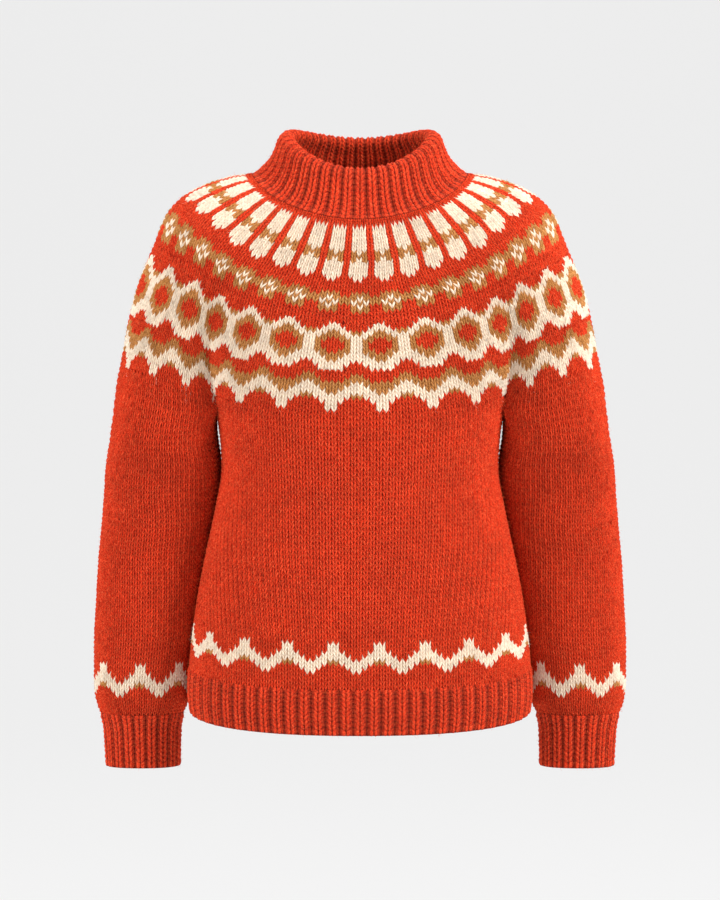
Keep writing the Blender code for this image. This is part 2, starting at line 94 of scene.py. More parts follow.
YARN_INDEX = {yarn.value: index for index, yarn in enumerate(Yarn)}

# Charts: a row for each round from the neck down, a letter for each stitch of one repeat
PETAL_TOPS = ("CCC.",) * 6 + ("TCT.", "TTT.", "TCT.")
PETAL_TIPS = ("CCCC.",) * 4 + (".CC..",)
FLOWERS = (".TTT.", "TTCTT", "TCTCT", ".TCT.", ".TTT.")
MEDALLIONS = (
    "...CC...",
    "..CCCC..",
    "TCCTTCCT",
    "CCTTTTCC",
    "CTT..TTC",
    "CT....TC",
    "CT....TC",
    "CTT..TTC",
    "CCTTTTCC",
    "CCCTTCCC",
    ".CCCCCC.",
    "..CCCC..",
)
YOKE_ZIGZAG = (
    "TT......",
    "TTT....T",
    "CCTTTTTT",
    "CCCTTTTC",
    "CCCCTTCC",
    "TTCCCCCC",
    "...CCCC.",
    "....CC..",
    "....CC..",
)
EDGE_ZIGZAG = (
    "CC......",
    "CC......",
    "CCC....C",
    "CCCC..CC",
    "TTCCCCCC",
    "...CCCC.",
    "....CC..",
)
EDGE_START = 3              # stitches from the middle to the start of the edge zigzag's repeat


def edge_yarns(number: int, columns: Array) -> Array:
    """The yarns of a round above a ribbed edge.

    Args:
        number: the round, counted from the zigzag's first one; outside the zigzag it is plain.
        columns: its stitches, counted from the middle.

    Returns:
        A yarn for each stitch.
    """
    chart = EDGE_ZIGZAG[number] if 0 <= number < len(EDGE_ZIGZAG) else Yarn.RED.value
    return np.array([YARN_INDEX[chart[(column - EDGE_START) % len(chart)]] for column in columns])


@dataclass(frozen=True)
class Band:
    """Rounds with one number of stitches.

    Attributes:
        rounds: the charted rounds, from the neck down.
        repeats: how often the chart goes round the garment.
        start: where the chart's first stitch begins, in stitches from the middle of the front.
        drift: how far the start has moved by the last round.
        widths: of the stitches of one repeat, against each other.
        fade: over how many rounds at the end they grow alike.
    """

    rounds: tuple[str, ...]
    repeats: int
    start: float
    drift: float = 0.0
    widths: tuple[float, ...] = ()
    fade: float = 0.0

    @property
    def stitches(self) -> int:
        """The number of stitches in a round."""
        return self.repeats * len(self.rounds[0])

    @property
    def lead(self) -> int:
        """The chart's stitch from which the round is counted, so that all rounds start together."""
        return round(ROUND_START * self.stitches - self.start)

    def edges(self, number: float) -> Array:
        """Shares of the way round where the stitches of a round begin.

        Args:
            number: the round's number in the chart, with its part of a round.

        Returns:
            The shares, with the last stitch's end.
        """
        widths = np.array(self.widths or (1.0,) * len(self.rounds[0]))
        if self.fade:
            widths = 1 + (widths - 1) * min((len(self.rounds) - number) / self.fade, 1.0)
        steps = np.concatenate([[0.0], np.cumsum(widths)]) * len(widths) / widths.sum()
        wanted = np.arange(self.stitches + 1) + self.lead
        at = steps[wanted % len(widths)] + wanted - wanted % len(widths)
        return (at + self.start + self.drift * number / len(self.rounds)) / self.stitches

    def yarns(self, number: int) -> Array:
        """The yarn of each stitch of a round."""
        round_yarns = np.tile([YARN_INDEX[letter] for letter in self.rounds[number]], self.repeats)
        return np.roll(round_yarns, -self.lead)


YOKE_BANDS = (
    Band(("....",) * 2 + PETAL_TOPS, 36, -1.5, 0.0, (0.9, 0.9, 0.9, 1.3)),
    Band(PETAL_TIPS + (".....",) * 2, 36, -2.0, -0.5, (0.93, 0.93, 0.93, 0.93, 1.28), 3.0),
    Band((".....",) + FLOWERS + (".....",), 36, -2.5),
    Band((".....",) * 2, 36, -2.5),
    Band(MEDALLIONS, 28, -0.6),
    Band(("........",) + YOKE_ZIGZAG, 30, -1.0 + STITCH_SHIFT),
)
UPPER_YOKE_BANDS = 3        # the bands of the first of the yoke's two meshes

# Where rounds lie: a round's number and its share of the way down the piece
YOKE_LEVELS = ((0, 0.0), (2, 0.0640), (8, 0.1780), (15, 0.3110), (24, 0.4940), (33, 0.6655),
               (40, 0.8120), (49, 1.0))
BODY_LEVELS = ((0, 0.0), (24, 0.4222), (47, 0.8266), (54, 0.9326), (58, 1.0))
SLEEVE_LEVELS = ((0, 0.0), (28, 0.4230), (56, 0.8455), (63, 0.9485), (67, 1.0), (68, 1.0129))

# How far up the yoke its rounds ride towards the sides, as shares of its depth: a row for each
# round named first, then a number for each ninth of the way from the middle to the side
RIDE_UP = (
    (0, (0.0,) * 10),
    (2, (0.0, 0.002, 0.004, 0.007, 0.009, 0.011, 0.013, 0.016, 0.018, 0.020)),
    (15, (0.0, 0.003, 0.0125, 0.0275, 0.0325, 0.045, 0.060, 0.060, 0.055, 0.050)),
    (21, (0.0, 0.010, 0.0275, 0.0425, 0.055, 0.070, 0.0725, 0.0675, 0.060, 0.053)),
    (33, (0.0, 0.016, 0.0355, 0.055, 0.067, 0.074, 0.0765, 0.063, 0.042, 0.025)),
    (49, (0.0, 0.010, 0.028, 0.041, 0.055, 0.085, 0.095, 0.089, 0.068, 0.050)),
)
# How far the stitches of a round lie towards the side, in the same table's form
FAN_OUT = (
    (0, (0.0,) * 10),
    (15, (0.0,) * 10),
    (21, (0.0, 0.006, 0.023, 0.026, 0.024, 0.012, -0.003, -0.018, -0.029, 0.0)),
    (33, (0.0, 0.002, 0.006, 0.004, -0.006, -0.012, -0.013, -0.025, -0.035, 0.0)),
    (49, (0.0,) * 10),
)
RIDE_FADE = 16              # rounds below the yoke over which the others come level again


@dataclass(frozen=True)
class YokeRow:
    """A ring of the yoke.

    Attributes:
        share: how far down the yoke it lies.
        side_x: its half width.
        side_z: height of its sides.
        front_y: place of the middle of its front.
        front_z: height of that middle.
        back_y: place of the middle of its back.
        back_z: height of that middle.
        power: how square it is in plan.
        rise: how much of the height from the middle to the side it has gained at the crease.
        slope: how steeply it rises there.
    """

    share: float
    side_x: float
    side_z: float
    front_y: float
    front_z: float
    back_y: float
    back_z: float
    power: float
    rise: float
    slope: float


YOKE = (
    YokeRow(0.00, 0.1186, 0.0000, -0.0960, -0.0450, 0.0880, -0.0040, 2.10, 0.41, 1.38),
    YokeRow(0.10, 0.1460, -0.0040, -0.1015, -0.0660, 0.0985, -0.0170, 2.12, 0.38, 1.35),
    YokeRow(0.24, 0.1880, -0.0205, -0.1065, -0.0940, 0.1050, -0.0440, 2.15, 0.34, 1.30),
    YokeRow(0.34, 0.2110, -0.0415, -0.1090, -0.1150, 0.1075, -0.0700, 2.20, 0.30, 1.25),
    YokeRow(0.47, 0.2275, -0.0790, -0.1110, -0.1415, 0.1085, -0.1050, 2.25, 0.24, 1.10),
    YokeRow(0.64, 0.2465, -0.1250, -0.1120, -0.1770, 0.1080, -0.1490, 2.30, 0.12, 0.85),
    YokeRow(0.77, 0.2565, -0.1630, -0.1110, -0.2040, 0.1062, -0.1850, 2.30, 0.02, 0.60),
    YokeRow(0.90, 0.2645, -0.2030, -0.1085, -0.2310, 0.1040, -0.2220, 2.30, -0.08, 0.35),
    YokeRow(1.00, 0.2705, -0.2310, -0.1060, -0.2530, 0.1020, -0.2530, 2.30, -0.14, 0.20),
)


@dataclass(frozen=True)
class BodyRow:
    """A level section of the body.

    Attributes:
        z: its height.
        half_width: from its middle to its side.
        front_y: place of the middle of its front.
        back_y: place of the middle of its back.
    """

    z: float
    half_width: float
    front_y: float
    back_y: float


BODY_TOP = BodyRow(-0.253, 0.1605, -0.1060, 0.1020)
BODY = (
    BodyRow(-0.290, 0.1558, -0.1042, 0.0985),
    BodyRow(-0.330, 0.1545, -0.1032, 0.0970),
    BodyRow(-0.370, 0.1615, -0.1045, 0.0990),
    BodyRow(-0.410, 0.1700, -0.1070, 0.1030),
    BodyRow(-0.467, 0.1818, -0.1108, 0.1080),
    BodyRow(-0.525, 0.1905, -0.1138, 0.1118),
    BodyRow(-0.558, 0.1935, -0.1150, 0.1132),
)
HEM = (
    BodyRow(-0.552, 0.1929, -0.1148, 0.1129),
    BodyRow(-0.566, 0.1939, -0.1150, 0.1132),
    BodyRow(-0.585, 0.1942, -0.1145, 0.1128),
    BodyRow(-0.604, 0.1925, -0.1125, 0.1108),
)


@dataclass(frozen=True)
class SleeveRow:
    """A section of a sleeve.

    Attributes:
        z: height of its middle.
        outer_x: place of its outermost line.
        inner_x: place of its innermost line.
        front_y: place of its front.
        back_y: place of its back.
        tilt: how steeply it rises to the front.
    """

    z: float
    outer_x: float
    inner_x: float
    front_y: float
    back_y: float
    tilt: float


SLEEVE = (
    SleeveRow(-0.290, 0.2790, 0.1605, -0.0530, 0.0700, 0.00),
    SleeveRow(-0.325, 0.2860, 0.1572, -0.0400, 0.0790, 0.00),
    SleeveRow(-0.364, 0.2902, 0.1595, -0.0285, 0.0845, 0.00),
    SleeveRow(-0.403, 0.2945, 0.1665, -0.0215, 0.0860, 0.00),
    SleeveRow(-0.442, 0.2989, 0.1740, -0.0180, 0.0855, 0.01),
    SleeveRow(-0.482, 0.3018, 0.1815, -0.0165, 0.0840, 0.03),
    SleeveRow(-0.520, 0.3045, 0.1880, -0.0165, 0.0820, 0.05),
    SleeveRow(-0.558, 0.3055, 0.1928, -0.0170, 0.0790, 0.08),
    SleeveRow(-0.590, 0.3052, 0.1965, -0.0160, 0.0755, 0.11),
    SleeveRow(-0.606, 0.3025, 0.1995, -0.0125, 0.0700, 0.13),
    SleeveRow(-0.616, 0.2990, 0.2040, -0.0090, 0.0655, 0.14),
)
CUFF = SLEEVE[-1:] + (
    SleeveRow(-0.628, 0.2955, 0.2075, -0.0060, 0.0620, 0.15),
    SleeveRow(-0.653, 0.2935, 0.2092, -0.0045, 0.0600, 0.17),
    SleeveRow(-0.680, 0.2925, 0.2098, -0.0040, 0.0595, 0.18),
)


@dataclass(frozen=True)
class CollarRow:
    """A ring of the doubled collar.

    Attributes:
        side_x: its half width.
        side_z: height of its sides.
        front_y: place of the middle of its front.
        front_z: height of that middle.
        back_y: place of the middle of its back.
        back_z: height of that middle.
    """

    side_x: float
    side_z: float
    front_y: float
    front_z: float
    back_y: float
    back_z: float


COLLAR = (
    CollarRow(0.1116, 0.0000, -0.0890, -0.0450, 0.0810, -0.0040),
    CollarRow(0.0985, 0.0030, -0.0845, -0.0400, 0.0750, -0.0010),
    CollarRow(0.0880, 0.0120, -0.0795, -0.0300, 0.0700, 0.0080),
    CollarRow(0.0800, 0.0250, -0.0745, -0.0150, 0.0655, 0.0200),
    CollarRow(0.0745, 0.0325, -0.0690, -0.0050, 0.0610, 0.0270),
    CollarRow(0.0720, 0.0378, -0.0665, 0.0015, 0.0590, 0.0322),
    CollarRow(0.0735, 0.0418, -0.0680, 0.0055, 0.0605, 0.0360),
    CollarRow(0.0785, 0.0440, -0.0735, 0.0075, 0.0662, 0.0382),
    CollarRow(0.0842, 0.0422, -0.0785, 0.0050, 0.0710, 0.0362),
    CollarRow(0.0882, 0.0368, -0.0818, -0.0010, 0.0740, 0.0310),
    CollarRow(0.0910, 0.0290, -0.0845, -0.0120, 0.0758, 0.0240),
    CollarRow(0.0965, 0.0170, -0.0880, -0.0260, 0.0785, 0.0130),
    CollarRow(0.1060, 0.0060, -0.0920, -0.0380, 0.0825, 0.0030),
    CollarRow(0.1186, 0.0000, -0.0960, -0.0450, 0.0880, -0.0040),
)


def columns_of(rows: tuple) -> Array:
    """A table's numbers, a row for each of its rows."""
    return np.array([list(vars(row).values()) for row in rows])


def whole_ring(front: Array, back: Array) -> Array:
    """A closed ring from its right half's two quarters, each from its middle to its side.

    Args:
        front: the points of the front's right quarter.
        back: the points of the back's.

    Returns:
        The ring, from the middle of the front round by +X.
    """
    right = np.vstack([front, back[::-1][1:]])
    mirror = np.array((-1, 1, 1))[:right.shape[1]]
    return np.vstack([right, (right[::-1] * mirror)[1:-1]])


def cubic(knots: Array, values: Array, slopes: Array, at: Array) -> Array:
    """A curve through values at knots, with the given slopes there.

    Args:
        knots: where the values lie, rising.
        values: numbers or points, one for each knot.
        slopes: of the same shape as values.
        at: where the curve is wanted.

    Returns:
        A number or point for each place in at.
    """
    steps = np.diff(knots)
    span = np.clip(np.searchsorted(knots, at, side="right") - 1, 0, len(steps) - 1)
    shape = (-1,) + (1,) * (values.ndim - 1)
    width = steps[span].reshape(shape)
    u = (at - knots[span]).reshape(shape) / width
    start = values[span] * (2 * u**3 - 3 * u**2 + 1) + slopes[span] * width * (u**3 - 2 * u**2 + u)
    end = values[span + 1] * (3 * u**2 - 2 * u**3) + slopes[span + 1] * width * (u**3 - u**2)
    return start + end


def hermite(knots: Array, values: Array, at: Array) -> Array:
    """A smooth curve through values at knots, with averaged slopes.

    Args:
        knots: where the values lie, rising.
        values: numbers or points, one for each knot.
        at: where the curve is wanted.

    Returns:
        A number or point for each place in at.
    """
    knots = np.asarray(knots, float)
    values = np.asarray(values, float)
    chords = np.diff(values, axis=0) / np.diff(knots).reshape((-1,) + (1,) * (values.ndim - 1))
    slopes = np.empty_like(values)
    slopes[0] = chords[0]
    slopes[-1] = chords[-1]
    slopes[1:-1] = (chords[:-1] + chords[1:]) / 2
    return cubic(knots, values, slopes, np.atleast_1d(at))


def depth_of(levels: tuple, rows: Array) -> Array:
    """Shares of the way down a piece at which rows lie."""
    table = np.array(levels)
    return hermite(table[:, 0], table[:, 1], rows)


def tabled(table: tuple, rows: Array, side: Array) -> Array:
    """Values of a table of rounds and ninths of the way from the middle to the side.

    Args:
        table: RIDE_UP or FAN_OUT.
        rows: rounds from the neck down.
        side: how far each point lies from the middle of the front or back, 1 at the side.

    Returns:
        A value for each point.
    """
    stations = np.linspace(0, 1, len(table[0][1]))
    rounds = [number for number, _ in table]
    total = np.zeros(len(side))
    for index, (_, values) in enumerate(table):
        weight = np.interp(rows, rounds, [float(k == index) for k in range(len(rounds))])
        total += weight * hermite(stations, np.array(values), side)
    return total


def panel_way(share: Array) -> Array:
    """How far along a panel, from 0 to 1, the column at a share of its stitches lies."""
    return PANEL_SPREAD * share + (1 - PANEL_SPREAD) * share**3


def panel_stitch(way: Array) -> Array:
    """The share of a panel's stitches that lies at a way along it."""
    shares = np.linspace(0, 1, 200)
    return np.interp(way, panel_way(shares), shares)


def along(line: Array, shares: Array) -> Array:
    """Points at the given shares of a polyline's length.

    Args:
        line: its points.
        shares: from 0 to 1.

    Returns:
        A point for each share.
    """
    length = np.concatenate([[0.0], np.cumsum(np.linalg.norm(np.diff(line, axis=0), axis=1))])
    at = np.asarray(shares) * length[-1]
    return np.stack([np.interp(at, length, line[:, axis]) for axis in range(line.shape[1])], axis=1)


def quarter(half_width: float, depth: float, power: float) -> Array:
    """A quarter of a superellipse in plan, from (0, depth) to (half_width, 0).

    Args:
        half_width: where it ends, across.
        depth: where it starts, front to back.
        power: how square it is.

    Returns:
        The points.
    """
    angle = np.linspace(0, math.pi / 2, SIDE_STATIONS)
    x = half_width * np.sin(angle) ** (2 / power)
    y = depth * np.clip(np.cos(angle), 0, None) ** (2 / power)
    return np.stack([x, y], axis=1)


def plan_ring(half_width: float, front: float, back: float, power: float, columns: int) -> Array:
    """A closed superellipse in plan, at even steps from the middle of the front.

    Args:
        half_width: from its middle to its side.
        front: place of the middle of the front.
        back: place of the middle of the back.
        power: how square it is.
        columns: how many points it has.

    Returns:
        The points.
    """
    ring = whole_ring(quarter(half_width, front, power), quarter(half_width, back, power))
    return along(np.vstack([ring, ring[:1]]), np.arange(columns) / columns)


def bezier(start: Array, lead: Array, trail: Array, end: Array) -> Array:
    """A cubic curve between two points, pulled towards the two between.

    Args:
        start: its first point.
        lead: what it sets out towards.
        trail: what it comes in from.
        end: its last point.

    Returns:
        The points.
    """
    u = np.linspace(0, 1, 40)[:, None]
    weights = ((1 - u) ** 3, 3 * u * (1 - u) ** 2, 3 * u**2 * (1 - u), u**3)
    return sum(w * np.asarray(p, float) for w, p in zip(weights, (start, lead, trail, end)))


@dataclass
class Surface:
    """The outside of a tube.

    Attributes:
        grid: closed rings of points, from the top down.
        normals: the outward unit normal at each point.
    """

    grid: Array
    normals: Array = field(init=False)

    def __post_init__(self) -> None:
        """Work out the outward normals."""
        around = np.roll(self.grid, -1, axis=1) - np.roll(self.grid, 1, axis=1)
        down = np.gradient(self.grid, axis=0)
        normal = np.cross(down, around)
        self.normals = normal / np.maximum(np.linalg.norm(normal, axis=2, keepdims=True), 1e-12)

    def at(self, depth: Array, round_share: Array) -> tuple[Array, Array]:
        """Points and normals on the surface.

        Args:
            depth: from 0 at the top ring to 1 at the bottom one.
            round_share: from 0 to 1 once round.

        Returns:
            The points and the unit normals there.
        """
        rings, columns = self.grid.shape[:2]
        ring = np.clip(depth, 0, 1) * (rings - 1)
        upper = np.minimum(ring.astype(int), rings - 2)
        down = (ring - upper)[:, None]
        column = (np.asarray(round_share) % 1.0) * columns
        left = np.floor(column).astype(int) % columns
        side = (column - np.floor(column))[:, None]
        right = (left + 1) % columns
        found = []
        for values in (self.grid, self.normals):
            top = values[upper, left] * (1 - side) + values[upper, right] * side
            low = values[upper + 1, left] * (1 - side) + values[upper + 1, right] * side
            found.append(top * (1 - down) + low * down)
        points, normals = found
        return points, normals / np.maximum(np.linalg.norm(normals, axis=1, keepdims=True), 1e-12)

    def reach(self, round_share: Array) -> Array:
        """Metres to the whole depth near the foot, at shares of the way round.

        Args:
            round_share: from 0 to 1 once round.

        Returns:
            A length for each share.
        """
        rings, columns = self.grid.shape[:2]
        near = 10
        steps = np.linalg.norm(self.grid[-1] - self.grid[-1 - near], axis=1) * (rings - 1) / near
        turn = np.asarray(round_share) % 1.0
        return np.interp(turn, np.arange(columns + 1) / columns, np.append(steps, steps[0]))

    def girth(self) -> float:
        """The widest ring's length."""
        steps = np.linalg.norm(np.roll(self.grid, -1, axis=1) - self.grid, axis=2)
        return float(steps.sum(axis=1).max())

    def length(self) -> float:
        """The longest way from the top ring to the bottom one."""
        return float(np.linalg.norm(np.diff(self.grid, axis=0), axis=2).sum(axis=0).max())


def half_fold(share: Array) -> Array:
    """How far each share of the way round lies from the nearer middle, front or back, 0 to 1."""
    turned = np.asarray(share) % 0.5
    return np.minimum(turned, 0.5 - turned) * 4


@dataclass
class YokeCut:
    """The form of the round yoke.

    Attributes:
        crease_share: how far round a quarter the armhole crease lies, at the joining round.
        crease_inset: how far the crease lies inside the body's side.
        crease_spread: how much wider the creases stand at the neck than at the joining round.
        crease_start: how far down the yoke the crease begins.
        crease_curve: how slowly it deepens at first.
        back_rise: how much more of its height the back has gained at the crease, at the neck.
        sleeve_back: how far behind the garment's middle the sleeve's middle lies.
        sleeve_depth: from there to the sleeve's front or back.
        sleeve_width: from the sleeve's crest in plan to its outermost line.
        crease_lead: how the sleeve sets out from the crease: across, and as a share of the way
            to its front or back.
        crest_lead: how far before its crest it comes level.
        columns: points of a ring.
    """

    crease_share: float = 0.53
    crease_inset: float = 0.0035
    crease_spread: float = 0.035
    crease_start: float = 0.34
    crease_curve: float = 1.35
    back_rise: float = 0.25
    sleeve_back: float = 0.004
    sleeve_depth: float = 0.060
    sleeve_width: float = 0.057
    crease_lead: tuple[float, float] = (0.010, 0.5)
    crest_lead: float = 0.030
    columns: int = 384

    def row(self, share: float) -> YokeRow:
        """The yoke's sizes at a share of its depth."""
        table = columns_of(YOKE)
        return YokeRow(*hermite(table[:, 0], table, np.array([share]))[0])

    def panel(self, half_width: float, depth: float) -> Array:
        """The front or back of the body in plan, from its middle to the crease.

        Args:
            half_width: of the body.
            depth: place of the middle of that front or back.

        Returns:
            The points.
        """
        whole = quarter(half_width, depth, BODY_POWER)
        crease_x = half_width - self.crease_inset
        cut = int(np.searchsorted(whole[:, 0], crease_x))
        share = (crease_x - whole[cut - 1, 0]) / (whole[cut, 0] - whole[cut - 1, 0])
        return np.vstack([whole[:cut], whole[cut - 1] + share * (whole[cut] - whole[cut - 1])])

    def over_sleeve(self, crease: Array, side_x: float, face: int) -> Array:
        """The sleeve in plan, from the crease over its front or back to its outermost line.

        Args:
            crease: the point in plan where it starts.
            side_x: where it ends, across.
            face: -1 for the front and 1 for the back.

        Returns:
            The points.
        """
        middle = side_x - self.sleeve_width
        crest = face * self.sleeve_depth + self.sleeve_back
        lead = (crease[0] + self.crease_lead[0], crease[1] + self.crease_lead[1] * (crest - crease[1]))
        start = bezier(crease, lead, (middle - self.crest_lead, crest), (middle, crest))
        end = quarter(self.sleeve_width, crest - self.sleeve_back, SLEEVE_POWER)
        return np.vstack([start, end[1:] + (middle, self.sleeve_back)])

    def quarter(self, share: float, face: int, places: Array) -> Array:
        """A quarter of a ring from the middle of the front (face -1) or back (1) to the side.

        Args:
            share: how far down the yoke the ring lies.
            face: -1 for the front and 1 for the back.
            places: shares of the quarter's stitches, from 0 to 1.

        Returns:
            A point for each place.
        """
        row = self.row(share)
        depth, level = (row.front_y, row.front_z) if face < 0 else (row.back_y, row.back_z)
        weight = float(np.clip((row.share - self.crease_start) / (1 - self.crease_start), 0, 1))
        weight **= self.crease_curve
        on_panel = self.crease_share * panel_way(np.minimum(places / PANEL_SHARE, 1))
        past = np.interp(places, (PANEL_SHARE, 1), (self.crease_share, 1))
        creased = np.where(places > PANEL_SHARE, past, on_panel)
        station = places * (1 - weight) + creased * weight
        oval = quarter(row.side_x, depth, row.power)
        oval[:, 1] += self.sleeve_back * (oval[:, 0] / row.side_x) ** 2
        half_width = BODY_TOP.half_width + self.crease_spread * (1 - row.share)
        body = self.panel(half_width, depth)
        sleeve = self.over_sleeve(body[-1], max(row.side_x, half_width + 2 * self.crease_inset), face)
        on_body = along(body, np.clip(station / self.crease_share, 0, 1))
        on_sleeve = along(sleeve, np.clip((station - self.crease_share) / (1 - self.crease_share), 0, 1))
        folded = np.where((station < self.crease_share)[:, None], on_body, on_sleeve)
        plan = along(oval, station) * (1 - weight) + folded * weight
        rise = row.side_z - level
        crease_rise = row.rise + (self.back_rise * (1 - row.share) if face > 0 else 0.0)
        heights = np.array((level, level + crease_rise * rise, row.side_z))
        knots = np.array((0.0, self.crease_share, 1.0))
        z = cubic(knots, heights, np.array((0.0, row.slope * rise, 0.0)), station)
        return np.column_stack([plan, z])

    def ring(self, share: float) -> Array:
        """A whole ring, from the middle of the front round by +X."""
        places = np.arange(self.columns // 4 + 1) / (self.columns // 4)
        return whole_ring(self.quarter(share, -1, places), self.quarter(share, 1, places))

    def surface(self) -> Surface:
        """The yoke's outside."""
        return Surface(np.array([self.ring(share) for share in np.linspace(0, 1, 2 * YOKE_ROUNDS + 1)]))


def lofted(rings: list[Array], count: int) -> Array:
    """Rings between the given ones, on smooth lines down through each station.

    Args:
        rings: with the same number of points each, from the top down.
        count: how many rings are wanted.

    Returns:
        The rings, evenly far apart in depth.
    """
    stack = np.array(rings)
    depth = np.concatenate([[0.0], np.cumsum(np.abs(np.diff(stack[:, :, 2].mean(axis=1))))])
    return hermite(depth, stack, np.linspace(0, depth[-1], count))


@dataclass
class BodyCut:
    """The form of the body tube below the joining round.

    Attributes:
        yoke: the form above it.
        underarm_level: height of the underarm grafts.
        panel_points: points of a section from the middle to the crease.
        side_points: points from there to the side.
        rings: of the form.
        columns: points of a ring.
        joint: share of its depth at which its wall ends.
    """

    yoke: YokeCut
    underarm_level: float = -0.256
    panel_points: int = 56
    side_points: int = 10
    rings: int = 118
    columns: int = 384
    joint: float = 0.9744

    def half(self, row: BodyRow, depth: float) -> Array:
        """A section's front or back from its middle to its side, the crease at a fixed station.

        Args:
            row: the section's sizes.
            depth: place of the middle of that front or back.

        Returns:
            The points.
        """
        panel = self.yoke.panel(row.half_width, depth)
        whole = quarter(row.half_width, depth, BODY_POWER)
        side = np.vstack([panel[-1:], whole[whole[:, 0] > panel[-1, 0]]])
        line = np.vstack([along(panel, np.linspace(0, 1, self.panel_points + 1)),
                          along(side, np.linspace(0, 1, self.side_points + 1))[1:]])
        return np.column_stack([line, np.full(len(line), row.z)])

    def halves(self) -> list[Array]:
        """Form the tube's right half.

        Returns:
            The front's rings and the back's, each from its middle to its side.
        """
        found = []
        for face in (-1, 1):
            top = self.half(BODY_TOP, BODY_TOP.front_y if face < 0 else BODY_TOP.back_y)
            places = PANEL_SHARE * panel_stitch(np.linspace(0, 1, self.panel_points + 1))
            top[:self.panel_points + 1] = self.yoke.quarter(1.0, face, places)
            top[self.panel_points:, 2] = self.underarm_level
            lower = [self.half(row, row.front_y if face < 0 else row.back_y) for row in BODY + HEM[1:2]]
            found.append(lofted([top] + lower, self.rings))
        return found

    def surface(self) -> Surface:
        """Form the tube.

        Returns:
            The body's outside, with columns at even steps of each quarter's length.
        """
        shares = np.arange(self.columns // 4 + 1) / (self.columns // 4)
        grid = []
        for front, back in zip(*self.halves()):
            grid.append(whole_ring(along(front, shares), along(back, shares)))
        return Surface(np.array(grid))

    def quarter_lengths(self) -> Array:
        """The length of the front's right quarter at each ring."""
        front = self.halves()[0]
        return np.linalg.norm(np.diff(front, axis=1), axis=2).sum(axis=1)

    def panel_length(self) -> float:
        """The way from the middle of the front to the crease, at the joining round."""
        top = self.halves()[0][0][:self.panel_points + 1]
        return float(np.linalg.norm(np.diff(top, axis=0), axis=1).sum())


@dataclass(frozen=True)
class Fold:
    """A soft trough on the front (face -1) or back (1) of a sleeve.

    Attributes:
        face: -1 or 1.
        x: across, of its middle.
        z: height of its middle.
        climb: how steeply it rises outwards.
        reach: half length.
        width: half width.
        depth: how deep it is; less than 0 is a ridge.
    """

    face: int
    x: float
    z: float
    climb: float
    reach: float
    width: float
    depth: float


SLEEVE_FOLDS = (
    Fold(-1, 0.196, -0.352, 0.45, 0.050, 0.026, 0.0050),
    Fold(-1, 0.215, -0.425, -0.20, 0.045, 0.026, 0.0030),
    Fold(1, 0.205, -0.380, 0.30, 0.050, 0.028, 0.0040),
)


